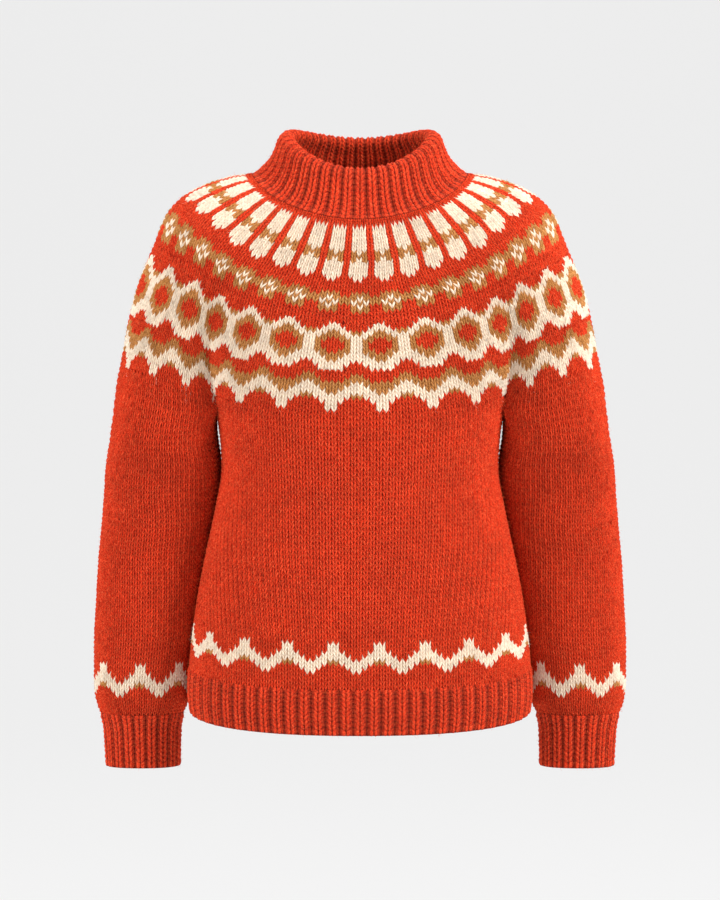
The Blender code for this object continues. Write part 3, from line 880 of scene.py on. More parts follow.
@dataclass
class SleeveCut:
    """The form of the left sleeve below the joining round; the right one mirrors it.

    Attributes:
        body: the form beside it.
        graft_share: of a section's girth, that the underarm graft takes.
        out_points: points of a section outside the graft.
        in_points: points on it.
        rings: of the form.
        columns: points of a ring.
        joint: share of its depth at which its wall ends.
        settle_share: how far down the columns still run on from those of the yoke.
    """

    body: BodyCut
    graft_share: float = 0.16
    out_points: int = 96
    in_points: int = 24
    rings: int = 137
    columns: int = 192
    joint: float = 0.9677
    settle_share: float = 0.3

    def oval(self, row: SleeveRow, shares: Array) -> Array:
        """A section at shares of its girth, from its innermost line round by the front.

        Args:
            row: the section's sizes.
            shares: where the points are wanted.

        Returns:
            A point for each share.
        """
        middle = (row.outer_x + row.inner_x) / 2
        half_width = (row.outer_x - row.inner_x) / 2
        level = (row.front_y + row.back_y) / 2
        half_depth = (row.back_y - row.front_y) / 2
        angle = np.linspace(0, 2 * math.pi, 4 * SIDE_STATIONS + 1)
        x = middle - half_width * np.sign(np.cos(angle)) * np.abs(np.cos(angle)) ** (2 / SLEEVE_POWER)
        y = level - half_depth * np.sign(np.sin(angle)) * np.abs(np.sin(angle)) ** (2 / SLEEVE_POWER)
        plan = along(np.column_stack([x, y]), shares % 1.0)
        return np.column_stack([plan, row.z - row.tilt * (plan[:, 1] - level)])

    def top(self) -> Array:
        """Form the sleeve's upper edge.

        Returns:
            The ring that it shares with the yoke and, at the underarm, with the body.
        """
        station = np.linspace(0, 1, self.out_points // 2 + 1)
        places = PANEL_SHARE + (1 - PANEL_SHARE) * station
        front = self.body.yoke.quarter(1.0, -1, places)
        back = self.body.yoke.quarter(1.0, 1, places)
        outside = np.vstack([front, back[::-1][1:]])
        outside[[0, -1], 2] = self.body.underarm_level
        sides = [half[0][self.body.panel_points:] for half in self.body.halves()]
        graft = np.vstack([sides[1], sides[0][::-1][1:]])
        return np.vstack([outside, along(graft, np.linspace(0, 1, self.in_points + 1))[1:-1]])

    def folded(self, rings: Array) -> Array:
        """The rings with the sleeve's soft folds pressed into them.

        Args:
            rings: of the smooth sleeve.

        Returns:
            As many rings, folded.
        """
        normal = Surface(rings).normals
        shift = np.zeros(rings.shape[:2])
        for fold in SLEEVE_FOLDS:
            length = math.hypot(1.0, fold.climb)
            across_x = rings[:, :, 0] - fold.x
            across_z = rings[:, :, 2] - fold.z
            lengthwise = (across_x + fold.climb * across_z) / length
            crosswise = (across_z - fold.climb * across_x) / length
            trough = np.exp(-((lengthwise / fold.reach) ** 2) - (crosswise / fold.width) ** 2)
            shift += fold.depth * trough * np.clip(normal[:, :, 1] * fold.face, 0, 1)
        shift[0] = 0.0
        return rings - shift[:, :, None] * normal

    def surface(self) -> Surface:
        """Form the sleeve.

        Returns:
            Its outside, with columns at even steps of its stitches.
        """
        half = self.graft_share / 2
        out = np.linspace(half, 1 - half, self.out_points + 1)
        inside = np.linspace(1 - half, 1 + half, self.in_points + 1)[1:-1]
        stations = np.concatenate([out, inside])
        rows = SLEEVE + CUFF[1:2]
        rings = self.folded(lofted([self.top()] + [self.oval(row, stations) for row in rows], self.rings))
        stitches = np.arange(self.columns) / self.columns
        outside = 1 - GRAFT_STITCHES / SLEEVE_STITCHES
        points = self.out_points + self.in_points
        station = np.interp(stitches, (0, outside, 1), (0, self.out_points, points))
        grid = []
        for level, ring in zip(np.linspace(0, 1, self.rings), rings):
            closed = np.vstack([ring, ring[:1]])
            steps = np.concatenate([[0.0], np.cumsum(np.linalg.norm(np.diff(closed, axis=0), axis=1))])
            as_yoke = np.interp(station, np.arange(points + 1), steps / steps[-1])
            settle = min(level / self.settle_share, 1.0)
            grid.append(along(closed, as_yoke * (1 - settle) + stitches * settle))
        return Surface(np.array(grid))


@dataclass
class RibCut:
    """The forms of the ribbed edges, with the middle of the front at the first column.

    Attributes:
        sleeve: the form that the cuffs run on from.
        columns: points of a ring.
        hem_rings: rings of the hem's form.
        cuff_rings: rings of a cuff's.
        collar_rings: rings of the collar's.
    """

    sleeve: SleeveCut
    columns: int = 384
    hem_rings: int = 28
    cuff_rings: int = 34
    collar_rings: int = 100

    def hem(self) -> Surface:
        """Form the hem.

        Returns:
            Its outside, at the foot of its ridges.
        """
        rings = []
        for row in HEM:
            plan = plan_ring(row.half_width, row.front_y, row.back_y, BODY_POWER, self.columns)
            rings.append(np.column_stack([plan, np.full(self.columns, row.z)]))
        return Surface(lofted(rings, self.hem_rings))

    def cuff(self) -> Surface:
        """The left cuff's outside."""
        shares = (np.arange(self.columns) / self.columns + 0.25) % 1.0
        return Surface(lofted([self.sleeve.oval(row, shares) for row in CUFF], self.cuff_rings))

    def collar(self) -> Surface:
        """Form the doubled collar.

        Returns:
            Its surface, from the foot of its inside up, over the roll and down outside.
        """
        seam = self.sleeve.body.yoke.ring(0.0)
        bearing = np.arctan2(seam[:, 1], seam[:, 0])
        order = np.argsort(bearing)
        rings = []
        for number, row in enumerate(COLLAR):
            plan = plan_ring(row.side_x, row.front_y, row.back_y, COLLAR_POWER, self.columns)
            x, y = plan.T
            depth = np.where(y < 0, y / abs(row.front_y), y / row.back_y)
            tilt = (row.back_z - row.front_z) / 2
            dip = (row.back_z + row.front_z) / 2 - row.side_z
            z = row.side_z + tilt * depth + dip * depth**2
            if number in (0, len(COLLAR) - 1):
                z = np.interp(np.arctan2(y, x), bearing[order], seam[order, 2], period=2 * math.pi)
            rings.append(np.column_stack([plan, z]))
        stack = np.array(rings)
        steps = np.linalg.norm(np.diff(stack, axis=0), axis=2).mean(axis=1)
        way = np.concatenate([[0.0], np.cumsum(steps)])
        return Surface(hermite(way, stack, np.linspace(0, way[-1], self.collar_rings)))


@dataclass
class Line:
    """One closed line of points on a wall.

    Attributes:
        points: in order round the tube.
        places: shares of the way round, rising, over one turn.
        columns: where each point lies in its round, in stitches.
        row: how far down it lies, in rounds.
        yarns: the yarn of each stitch of the round, which the faces below this line take.
        depths: how far down each point lies, in rounds, or None on the inside of a wall.
    """

    points: Array
    places: Array
    columns: Array
    row: float
    yarns: Array
    depths: Array | None = None


def triangle_piece(name: str, points: Array, triangles: Array, materials: list[bpy.types.Material],
                   kinds: Array) -> bpy.types.Object:
    """Make an object of triangles.

    Args:
        name: of the piece.
        points: its vertices.
        triangles: three indices for each face.
        materials: of the piece.
        kinds: which of them each face has.

    Returns:
        The new piece.
    """
    mesh = bpy.data.meshes.new(name)
    mesh.vertices.add(len(points))
    mesh.vertices.foreach_set("co", points.ravel())
    mesh.loops.add(triangles.size)
    mesh.loops.foreach_set("vertex_index", triangles.ravel())
    mesh.polygons.add(len(triangles))
    mesh.polygons.foreach_set("loop_start", np.arange(0, triangles.size, 3))
    for material in materials:
        mesh.materials.append(material)
    mesh.polygons.foreach_set("material_index", kinds.astype(np.int32))
    mesh.update(calc_edges=True)
    piece = bpy.data.objects.new(name, mesh)
    bpy.context.scene.collection.objects.link(piece)
    LOG.info("%s: %d triangles", name, len(triangles))
    return piece


@dataclass
class Wall:
    """A closed shell sewn from lines: each joins the next, and the last joins the first.

    Attributes:
        name: of the piece.
        lines: in the order in which they are sewn.
        triangles: the indices of each strip's corners, once sewn.
        corners: where those corners lie in the stitch chart, in stitches and rounds.
        yarns: the yarn of each triangle.
        roots: the knitted triangles and their yarns, where the nap may grow.
    """

    name: str
    lines: list[Line] = field(default_factory=list)
    triangles: list[Array] = field(default_factory=list)
    corners: list[Array] = field(default_factory=list)
    yarns: list[Array] = field(default_factory=list)
    roots: tuple[Array, Array] | None = None

    def join(self, upper: Line, lower: Line, first: int, second: int) -> None:
        """Fill the strip between two lines.

        Args:
            upper: the line whose stitches give the strip its yarn.
            lower: the next line.
            first: the index of upper's first point in the mesh.
            second: the index of lower's first point.
        """
        count, other = len(upper.points), len(lower.points)
        events = np.concatenate([np.append(upper.places[1:], upper.places[0] + 1.0) - 1e-9,
                                 np.append(lower.places[1:], lower.places[0] + 1.0)])
        order = np.argsort(events, kind="stable")
        above = order < count
        at_upper = np.cumsum(above) - above
        at_lower = np.cumsum(~above) - ~above
        a, b = at_upper % count, at_lower % other
        step_a, step_b = (at_upper + 1) % count, (at_lower + 1) % other
        third = np.where(above, first + step_a, second + step_b)
        self.triangles.append(np.column_stack([first + a, second + b, third]))
        turn = float(len(upper.yarns))
        upper_columns = np.append(upper.columns, upper.columns[0] + turn)
        upper_places = np.append(upper.places, upper.places[0] + 1.0)
        if count == other:
            lower_columns = np.append(lower.columns, lower.columns[0] + turn)
        else:
            unrolled = np.append(lower.places, lower.places[0] + 1.0)
            lower_columns = np.interp(unrolled, upper_places, upper_columns)
        rows = (upper.row, lower.row)
        corner = np.empty((len(order), 3, 2))
        corner[:, 0, 0], corner[:, 0, 1] = upper_columns[at_upper.clip(max=count)], rows[0]
        corner[:, 1, 0], corner[:, 1, 1] = lower_columns[at_lower.clip(max=other)], rows[1]
        corner[:, 2, 0] = np.where(above, upper_columns[(at_upper + 1).clip(max=count)],
                                   lower_columns[(at_lower + 1).clip(max=other)])
        corner[:, 2, 1] = np.where(above, *rows)
        self.corners.append(corner)
        middle = corner[:, :, 0].mean(axis=1) - upper.columns[0]
        self.yarns.append(upper.yarns[np.floor(middle).astype(int) % len(upper.yarns)])

    def mesh(self, mirrored: bool, materials: list[bpy.types.Material]) -> bpy.types.Object:
        """Sew the lines into a mesh and make it an object.

        Args:
            mirrored: whether the piece lies at -X, as the mirror image of its lines.
            materials: one for each yarn.

        Returns:
            The new piece.
        """
        starts = np.concatenate([[0], np.cumsum([len(line.points) for line in self.lines])])
        for number, line in enumerate(self.lines):
            following = (number + 1) % len(self.lines)
            self.join(line, self.lines[following], int(starts[number]), int(starts[following]))
        points = np.vstack([line.points for line in self.lines])
        if mirrored:
            points = points * (-1, 1, 1)
        triangles = np.vstack(self.triangles)
        corners = np.vstack(self.corners)
        a, b, c = (points[triangles[:, k]] for k in range(3))
        if np.einsum("ij,ij->i", a, np.cross(b, c)).sum() < 0:
            triangles = triangles[:, ::-1]
            corners = corners[:, ::-1]
        yarns = np.concatenate(self.yarns)
        sizes = [len(made) for made in self.triangles]
        # the plain inside has no nap
        knitted = sum(size for size, line in zip(sizes, self.lines) if line.depths is not None)
        self.roots = (points[triangles[:knitted]], yarns[:knitted])
        piece = triangle_piece(self.name, points, triangles, materials, yarns)
        mesh = piece.data
        chart = mesh.uv_layers.new(name="stitches")
        chart.data.foreach_set("uv", corners.reshape(-1, 2).ravel())
        # the wall's edges stay sharp, so that no seam shows where two pieces meet
        edge = [(line.depths is None) != (following.depths is None)
                for line, following in zip(self.lines, self.lines[1:] + self.lines[:1])]
        mesh.polygons.foreach_set("use_smooth", ~np.repeat(edge, sizes))
        mesh.validate()
        return piece


class Stitch(Enum):
    """Kinds of stitch across a round: where its points lie, how they slant and how high they stand.

    Each value is a table with a row for each point across a stitch: slant in rounds, and the
    heights of the gap line and of the leg, as shares of the relief.
    """

    KNIT = ((1.45, -1.4, -1.2), (0.85, -0.75, 1.0), (0.25, -1.3, -0.8), (0.85, -0.75, 1.0))
    RIB = ((0.9, 0.5, 0.9), (0.4, 1.8, 2.4), (0.0, -0.2, 0.2), (0.4, 1.8, 2.4),
           (0.9, 0.5, 0.9), (0.9, -1.4, -0.8), (0.9, -1.7, -0.5), (0.9, -1.4, -0.8))


def level_all(places: Array) -> Array:
    """Every stitch starts or ends level."""
    return np.ones(len(places))


def level_none(places: Array) -> Array:
    """No stitch starts or ends level."""
    return np.zeros(len(places))


@dataclass
class Knitting:
    """Rounds of stitches laid over a form.

    Attributes:
        wall: what the lines are added to.
        place: gives points and normals for rows and shares of the way round.
        first: the first row.
        last: the last row.
        starts: where the first round starts level, rather than run on from the piece above.
        ends: where the last round ends level.
        relief: height of a leg.
        stitch: the kind of stitch.
        settle: over how many rounds from a level start or end the stitches take their slant.
        grow: over how many rounds at the start the relief rises.
        sink: over how many rounds at the end it sinks.
        least: how little it sinks to at the last line.
        flatter: a round about which the relief is lower, over how many rounds and how low.
        uneven: how far points stray, in metres.
        calm: share of that in the gaps between legs.
        step: how far each line stays below the one above, in rounds.
        seed: of the small differences between stitches.
    """

    wall: Wall
    place: Place
    first: int
    last: int
    starts: Level = level_none
    ends: Level = level_none
    relief: float = STITCH_RELIEF
    stitch: Stitch = Stitch.KNIT
    settle: float = 1.3
    grow: float = 0.0
    sink: float = 0.0
    least: float = 0.15
    flatter: tuple[float, float, float] | None = None
    uneven: float = 0.00022
    calm: float = 0.4
    step: float = 0.10
    seed: int = 7

    def relief_at(self, row: float) -> float:
        """How much of its height the relief has at a row.

        Args:
            row: the row.

        Returns:
            A share, 1 for the whole height.
        """
        share = 1.0
        if self.grow:
            share *= min(max((row - self.first) / self.grow, 0.0), 1.0)
        if self.sink:
            share *= min(max((self.last - row) / self.sink, self.least), 1.0)
        if self.flatter is not None:
            middle, reach, lowest = self.flatter
            share *= 1 - (1 - lowest) * math.exp(-((row - middle) / reach) ** 2)
        return share

    def line(self, edges: Array, row: float, in_gap: bool, yarns: Array) -> None:
        """Add one line of points to the wall, below the last one.

        Args:
            edges: shares of the way round where the stitches begin, and the last one ends.
            row: the line's row, before its points slant.
            in_gap: whether it lies in the gap above the legs, rather than on them.
            yarns: the yarn of each stitch.
        """
        table = np.array(self.stitch.value)
        index = np.arange((len(edges) - 1) * POINTS_EACH)
        slant, gap, leg = table[index % len(table)].T
        columns = index / POINTS_EACH
        stitch = index // POINTS_EACH
        part = columns - stitch
        places = edges[stitch] * (1 - part) + edges[stitch + 1] * part
        from_top = np.clip((row - self.first) / self.settle, 0, 1)
        from_bottom = np.clip((self.last - row) / self.settle, 0, 1)
        level_top, level_bottom = self.starts(places), self.ends(places)
        slanted = slant * (1 - level_top * (1 - from_top)) * (1 - level_bottom * (1 - from_bottom))
        height = (gap if in_gap else leg) * self.relief
        if row == self.first:
            height = height * (1 - level_top) + leg * self.relief * level_top
        height = height * self.relief_at(row)
        depths = row - slanted
        if self.wall.lines:
            above = self.wall.lines[-1]
            highest = np.interp(places, above.places, above.depths, period=1.0) + self.step
            depths = np.maximum(depths, highest)
        rng = np.random.default_rng(self.seed + round(row * len(THIRDS)))
        jitter = rng.normal(0, self.uneven, (len(index), 3)) * (self.calm if in_gap else 1.0)
        on_form, normal = self.place(depths, places)
        points = on_form + normal * height[:, None] + jitter
        self.wall.lines.append(Line(points, places, columns, row, yarns, depths))

    def round(self, row: int, edges: list[Array], yarns: Array) -> None:
        """Knit a round: a line in the gap above its legs and two on them.

        Args:
            row: the round's number.
            edges: where the stitches begin, for each of the three lines.
            yarns: the yarn of each stitch.
        """
        for part, starts in zip(THIRDS, edges):
            self.line(starts, row + part, part == 0, yarns)


@dataclass
class Joining:
    """A tube whose first rounds lie on the yoke, as far up as its last round rides.

    Attributes:
        yoke: the yoke's outside.
        tube: the tube's outside.
        levels: where the tube's rounds lie.
        joint: share of the tube's depth that the levels count as 1.
        length: of the tube.
    """

    yoke: Surface
    tube: Surface
    levels: tuple
    joint: float
    length: float = field(init=False)

    def __post_init__(self) -> None:
        """Measure the tube."""
        self.length = self.tube.length()

    def place(self, rows: Array, places: Array, share: Array, joined: Array) -> tuple[Array, Array]:
        """Points and normals.

        Args:
            rows: rounds below the joining one.
            places: shares of the way round the tube.
            share: the same points' shares of the way round the yoke.
            joined: which of them hang from the yoke.

        Returns:
            The points and the unit normals there.
        """
        reach = self.yoke.reach(share)
        ride = tabled(RIDE_UP, np.full(len(rows), YOKE_ROUNDS), half_fold(share))
        down = depth_of(self.levels, rows) * self.joint * self.length
        down -= ride * reach * joined * np.clip(1 - rows / RIDE_FADE, 0, 1)
        points, normals = self.tube.at(down / self.length, places)
        above = (down < 0) & joined
        if above.any():
            points[above], normals[above] = self.yoke.at(1 + down[above] / reach[above], share[above])
        return points, normals


def linear(hex_colour: str) -> tuple[float, float, float, float]:
    """A colour's linear values from its sRGB hex ones.

    Args:
        hex_colour: a # and six digits.

    Returns:
        Red, green, blue and an alpha of 1.
    """
    parts = [int(hex_colour[k:k + 2], 16) / 255 for k in (1, 3, 5)]
    turned = [p / 12.92 if p <= 0.04045 else ((p + 0.055) / 1.055) ** 2.4 for p in parts]
    return (*turned, 1.0)


def add_node(tree: bpy.types.NodeTree, kind: str, inputs: dict | None = None,
             **settings: object) -> bpy.types.Node:
    """Add a node.

    Args:
        tree: of the material.
        kind: the node's type name after ShaderNode.
        inputs: what each input takes, by its name or number: a constant, an output socket, or a
            node, whose first output it then takes.
        settings: the node's own attributes.

    Returns:
        The node.
    """
    made = tree.nodes.new("ShaderNode" + kind)
    for name, value in settings.items():
        setattr(made, name, value)
    for name, value in (inputs or {}).items():
        if isinstance(value, bpy.types.Node):
            value = value.outputs[0]
        if isinstance(value, bpy.types.NodeSocket):
            tree.links.new(value, made.inputs[name])
        else:
            made.inputs[name].default_value = value
    return made


def hump(tree: bpy.types.NodeTree, coordinate: bpy.types.NodeSocket | bpy.types.Node) -> bpy.types.Node:
    """A curve over a coordinate: 0 at whole numbers and 1 half way between, round on top.

    Args:
        tree: of the material.
        coordinate: the socket or node that gives it.

    Returns:
        The node whose first output is the curve.
    """
    part = add_node(tree, "Math", {0: coordinate}, operation="FRACT")
    rest = add_node(tree, "Math", {0: 1.0, 1: part}, operation="SUBTRACT")
    product = add_node(tree, "Math", {0: part, 1: rest}, operation="MULTIPLY")
    return add_node(tree, "Math", {0: product, 1: 4.0}, operation="MULTIPLY")


@dataclass(frozen=True)
class Wool:
    """Brushed wool yarn: matt and hairy, lighter on the loops' crowns, with painted shade dark between
    them.

    Attributes:
        name: of the material.
        crown: colour on top of a loop.
        hollow_shade: colour of the painted shade between loops.
        fleck: colour of the stray fibres, mixed in mostly on the loops' crowns, where it is partly painted
            highlight.
        valley_shade: how dark the painted shade in the hollows between ribs is, 1 for cloth without ribs.
        shade: how dark the painted shade in the darkest gaps between fibres is.
        fibre_mm: spacing of the fibres that show.
        cloud_mm: size of the lighter and darker places of the dye.
        loop_height: how deep the loops' bump is, in metres.
        fuzz_height: how deep the fibres' bump is.
    """

    name: str
    crown: str
    hollow_shade: str
    fleck: str
    valley_shade: float = 1.0
    shade: float = 0.48
    fibre_mm: float = 10 / 9
    cloud_mm: float = 1000 / 33
    loop_height: float = 0.0011
    fuzz_height: float = 0.0006

    def loops(self, tree: bpy.types.NodeTree, axes: bpy.types.Node) -> bpy.types.Node:
        """How high a leg stands at each point of the stitch chart, from 0 to 1.

        Args:
            tree: of the material.
            axes: the stitch chart's two coordinates.

        Returns:
            The node whose first output is the height.
        """
        across = hump(tree, axes.outputs[1])
        lengthwise = hump(tree, add_node(tree, "Math", {0: axes, 1: 2.0}, operation="MULTIPLY"))
        soft = add_node(tree, "Math", {0: lengthwise, 1: 0.6}, operation="POWER")
        raised = add_node(tree, "Math", {0: across, 1: 0.65, 2: 0.35}, operation="MULTIPLY_ADD")
        return add_node(tree, "Math", {0: raised, 1: soft}, operation="MULTIPLY")

    def ribs(self, tree: bpy.types.NodeTree, axes: bpy.types.Node) -> bpy.types.Node:
        """Shade along the middle of each ridge, where its two cords meet, and in the valleys.

        Args:
            tree: of the material.
            axes: the stitch chart's two coordinates.

        Returns:
            The node whose first output is the lightness.
        """
        turn = add_node(tree, "Math", {0: axes, 1: 0.5, 2: 0.25}, operation="MULTIPLY_ADD")
        part = add_node(tree, "Math", {0: turn}, operation="FRACT")
        side = add_node(tree, "Math", {0: part, 1: 0.5}, operation="SUBTRACT")
        folded = add_node(tree, "Math", {0: side}, operation="ABSOLUTE")
        off = add_node(tree, "Math", {0: folded, 1: 2.0}, operation="MULTIPLY")
        groove_shade = add_node(tree, "MapRange", {"Value": off, "From Max": 0.16, "To Min": 0.66},
                          interpolation_type="SMOOTHSTEP")
        valley_shade = add_node(tree, "MapRange", {"Value": off, "From Min": 0.48, "From Max": 0.78,
                                             "To Min": 1.0, "To Max": self.valley_shade},
                          interpolation_type="SMOOTHSTEP")
        return add_node(tree, "Math", {0: groove_shade, 1: valley_shade}, operation="MULTIPLY")

    def light(self, tree: bpy.types.NodeTree, chart: bpy.types.Node, axes: bpy.types.Node,
              speck: bpy.types.Node, place: bpy.types.NodeSocket) -> bpy.types.Node:
        """How light the wool is: its own tone, with painted shade in the gaps between fibres and, on ribs,
        in the grooves and valleys.

        Args:
            tree: of the material.
            chart: the stitch chart.
            axes: its two coordinates.
            speck: the fibres' pattern.
            place: where the point is on the piece.

        Returns:
            A node whose first output is 1 for the yarn's own lightness.
        """
        # each stitch a little lighter or darker, and the dye in soft clouds
        cell = add_node(tree, "VectorMath", {0: chart}, operation="FLOOR")
        each = add_node(tree, "TexWhiteNoise", {"Vector": cell}, noise_dimensions="2D")
        level = add_node(tree, "Math", {0: each, 1: 0.20, 2: 0.92}, operation="MULTIPLY_ADD")
        clouds = add_node(tree, "TexNoise", {"Vector": place, "Scale": 1000 / self.cloud_mm, "Detail": 2.0},
                          noise_dimensions="3D")
        dye = add_node(tree, "Math", {0: clouds, 1: 0.30, 2: 0.87}, operation="MULTIPLY_ADD")
        level = add_node(tree, "Math", {0: level, 1: dye}, operation="MULTIPLY")
        # painted shade: the gaps between fibres are darkened
        gaps = add_node(tree, "MapRange", {"Value": speck, "From Min": 0.36, "From Max": 0.50,
                                           "To Min": self.shade})
        level = add_node(tree, "Math", {0: level, 1: gaps}, operation="MULTIPLY")
        # painted shade along the ribs' grooves and in their purl valleys
        if self.valley_shade < 1.0:
            level = add_node(tree, "Math", {0: level, 1: self.ribs(tree, axes)}, operation="MULTIPLY")
        return level

    def material(self) -> bpy.types.Material:
        """Spin the yarn.

        Returns:
            The material: loops from the stitch chart, plies and fibres from fine noise.
        """
        material = bpy.data.materials.new(self.name)
        material.use_nodes = True
        tree = material.node_tree
        tree.nodes.clear()
        chart = add_node(tree, "UVMap", uv_map="stitches")
        axes = add_node(tree, "SeparateXYZ", {0: chart})
        place = add_node(tree, "TexCoord").outputs["Object"]
        loop = self.loops(tree, axes)
        # strands along a loop: long in the chart's first direction
        strands = add_node(tree, "Mapping", {0: chart, "Scale": (3.0, 9.0, 1.0)})
        strand = add_node(tree, "TexNoise", {"Vector": strands, "Scale": 1.0, "Detail": 3.0,
                                             "Roughness": 0.7, "Distortion": 0.6}, noise_dimensions="3D")
        # stray fibres, wider apart than real ones so that they show
        hairs = add_node(tree, "TexNoise", {"Vector": place, "Scale": 1000 / self.fibre_mm, "Detail": 4.0,
                                            "Roughness": 0.65}, noise_dimensions="3D")
        hairs_part = add_node(tree, "Math", {0: hairs, 1: 0.6}, operation="MULTIPLY")
        speck = add_node(tree, "Math", {0: strand, 1: 0.4, 2: hairs_part}, operation="MULTIPLY_ADD")
        # painted shade: the colour goes from the crown's on top of a leg to the darker hollow's between
        # legs
        depth = add_node(tree, "MapRange", {"Value": loop, "From Min": 0.05, "From Max": 0.7},
                         interpolation_type="SMOOTHSTEP")
        painted_loop_shade = add_node(tree, "Mix", {0: depth, 6: linear(self.hollow_shade), 7: linear(self.crown)},
                          data_type="RGBA")
        specked = add_node(tree, "MapRange", {"Value": speck, "From Min": 0.49, "From Max": 0.63,
                                              "To Max": 0.68})
        # stray fibres, laid mostly on the crowns: partly the yarn's own pale fibres, partly painted
        # highlight
        crown_highlight = add_node(tree, "Math", {0: depth, 1: 0.75, 2: 0.25}, operation="MULTIPLY_ADD")
        fleck_share = add_node(tree, "Math", {0: specked, 1: crown_highlight}, operation="MULTIPLY")
        flecked = add_node(tree, "Mix", {0: fleck_share, 6: painted_loop_shade.outputs[2], 7: linear(self.fleck)},
                           data_type="RGBA")
        light = self.light(tree, chart, axes, speck, place)
        toned = add_node(tree, "HueSaturation", {"Color": flecked.outputs[2], "Value": light})
        height = add_node(tree, "Math", {0: strand, 1: 0.25, 2: loop}, operation="MULTIPLY_ADD")
        loops = add_node(tree, "Bump", {"Height": height, "Strength": 0.75, "Distance": self.loop_height})
        fuzz = add_node(tree, "Bump", {"Height": hairs, "Normal": loops, "Strength": 0.45,
                                       "Distance": self.fuzz_height})
        shader = add_node(tree, "BsdfPrincipled", {
            "Base Color": toned, "Normal": fuzz, "Roughness": 0.92, "Specular IOR Level": 0.25,
            "Sheen Weight": 0.09, "Sheen Roughness": 0.55, "Sheen Tint": linear(self.fleck)})
        add_node(tree, "OutputMaterial", {0: shader})
        return material


@dataclass(frozen=True)
class Matt:
    """A plain matt finish.

    Attributes:
        name: of the material.
        colour: of the surface.
        roughness: of the surface.
        specular: how much it shines, 0.5 for most plastics.
        glow: how much white light it gives off itself.
    """

    name: str
    colour: str
    roughness: float
    specular: float
    glow: float = 0.0

    def material(self) -> bpy.types.Material:
        """Make the finish.

        Returns:
            The material.
        """
        material = bpy.data.materials.new(self.name)
        material.use_nodes = True
        shader = material.node_tree.nodes["Principled BSDF"]
        shader.inputs["Base Color"].default_value = linear(self.colour)
        shader.inputs["Roughness"].default_value = self.roughness
        shader.inputs["Specular IOR Level"].default_value = self.specular
        if self.glow:
            shader.inputs["Emission Color"].default_value = (1.0, 1.0, 1.0, 1.0)
            shader.inputs["Emission Strength"].default_value = self.glow
        return material


class Finishes:
    """The sweater's yarns, each made once.

    Attributes:
        charted: the materials of patterned cloth, in the order of the yarns.
        ribbed: the material of ribbing.
        hairs: the materials of loose hairs, in the order of the yarns.
    """

    def __init__(self) -> None:
        """Dye the wool."""
        self.charted = [
            # red wool, carded and lightly brushed: soft orange flecks, partly painted highlight, over
            # painted deep red shade in the hollows
            Wool("brushed_wool_red", "#DC2E08", "#620500", "#FB7A4A").material(),
            # undyed cream wool: warm white crowns, painted biscuit-coloured shade between
            Wool("brushed_wool_cream", "#FFE8CE", "#DDB28C", "#FFF5E4", shade=0.74).material(),
            # tan wool: brown, with paler flecks that are partly painted highlight, and painted dark brown
            # shade between the loops
            Wool("brushed_wool_tan", "#C4803F", "#6C3612", "#EDB47C", shade=0.58).material(),
        ]
        # the red wool again where it is ribbed, with its purl valleys in shade
        self.ribbed = Wool("ribbed_wool_red", "#DC2E08", "#620500", "#FB7A4A", valley_shade=0.50).material()
        # single hairs, paler than the yarn they stand off from: partly a lone fibre's own lighter colour,
        # partly painted highlight
        self.hairs = [
            Matt("wool_hair_red", "#F8703E", 0.85, 0.2).material(),
            Matt("wool_hair_cream", "#FBEEDB", 0.85, 0.2).material(),
            Matt("wool_hair_tan", "#C98F5A", 0.85, 0.2).material(),
        ]


@dataclass
class Nap:
    """Loose hairs of the brushed wool, each a thin closed spike of four faces.

    Attributes:
        finishes: the sweater's yarns.
        per_area: hairs to a square metre of cloth.
        lengths: the shortest and the longest hair.
        width: of a hair's foot.
        lie: how far a hair leans over, as a share of how far it stands up.
        least_lie: how much of that the most upright ones lean.
        sag: how far all hang down.
        seed: of the hairs' places and ways.
        walls: the knitted pieces, once made.
    """

    finishes: Finishes
    per_area: float = 26000.0
    lengths: tuple[float, float] = (0.0025, 0.0062)
    width: float = 0.00024
    lie: float = 1.3
    least_lie: float = 0.3
    sag: float = 0.35
    seed: int = 211
    walls: list[Wall] = field(default_factory=list)

    def build(self) -> None:
        """Grow the nap on all the walls."""
        faces = np.vstack([wall.roots[0] for wall in self.walls])
        yarns = np.concatenate([wall.roots[1] for wall in self.walls])
        cross = np.cross(faces[:, 1] - faces[:, 0], faces[:, 2] - faces[:, 0])
        size = np.linalg.norm(cross, axis=1)
        rng = np.random.default_rng(self.seed)
        count = int(self.per_area * size.sum() / 2)
        chosen = rng.choice(len(faces), count, p=size / size.sum())
        normal = cross[chosen] / size[chosen, None]
        foot = faces[chosen].mean(axis=1)
        lean = np.cross(normal, rng.normal(0, 1, (count, 3)))
        lean /= np.linalg.norm(lean, axis=1, keepdims=True)
        way = normal + lean * self.lie * rng.uniform(self.least_lie, 1.0, (count, 1)) - (0, 0, self.sag)
        way /= np.linalg.norm(way, axis=1, keepdims=True)
        side = np.cross(way, lean)
        side /= np.linalg.norm(side, axis=1, keepdims=True)
        other = np.cross(way, side)
        length = rng.uniform(*self.lengths, (count, 1))
        corners = [foot + (side * math.cos(angle) + other * math.sin(angle)) * self.width / 2
                   for angle in (0, 2 * math.pi / 3, 4 * math.pi / 3)]
        points = np.stack(corners + [foot + way * length], axis=1).reshape(-1, 3)
        spike = np.array(((0, 1, 3), (1, 2, 3), (2, 0, 3), (2, 1, 0)))
        triangles = (np.arange(count)[:, None, None] * 4 + spike).reshape(-1, 3)
        kinds = np.repeat(yarns[chosen], len(spike))
        piece = triangle_piece("brushed_nap", points, triangles, self.finishes.hairs, kinds)
        piece.data.validate()
        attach(piece, "root")


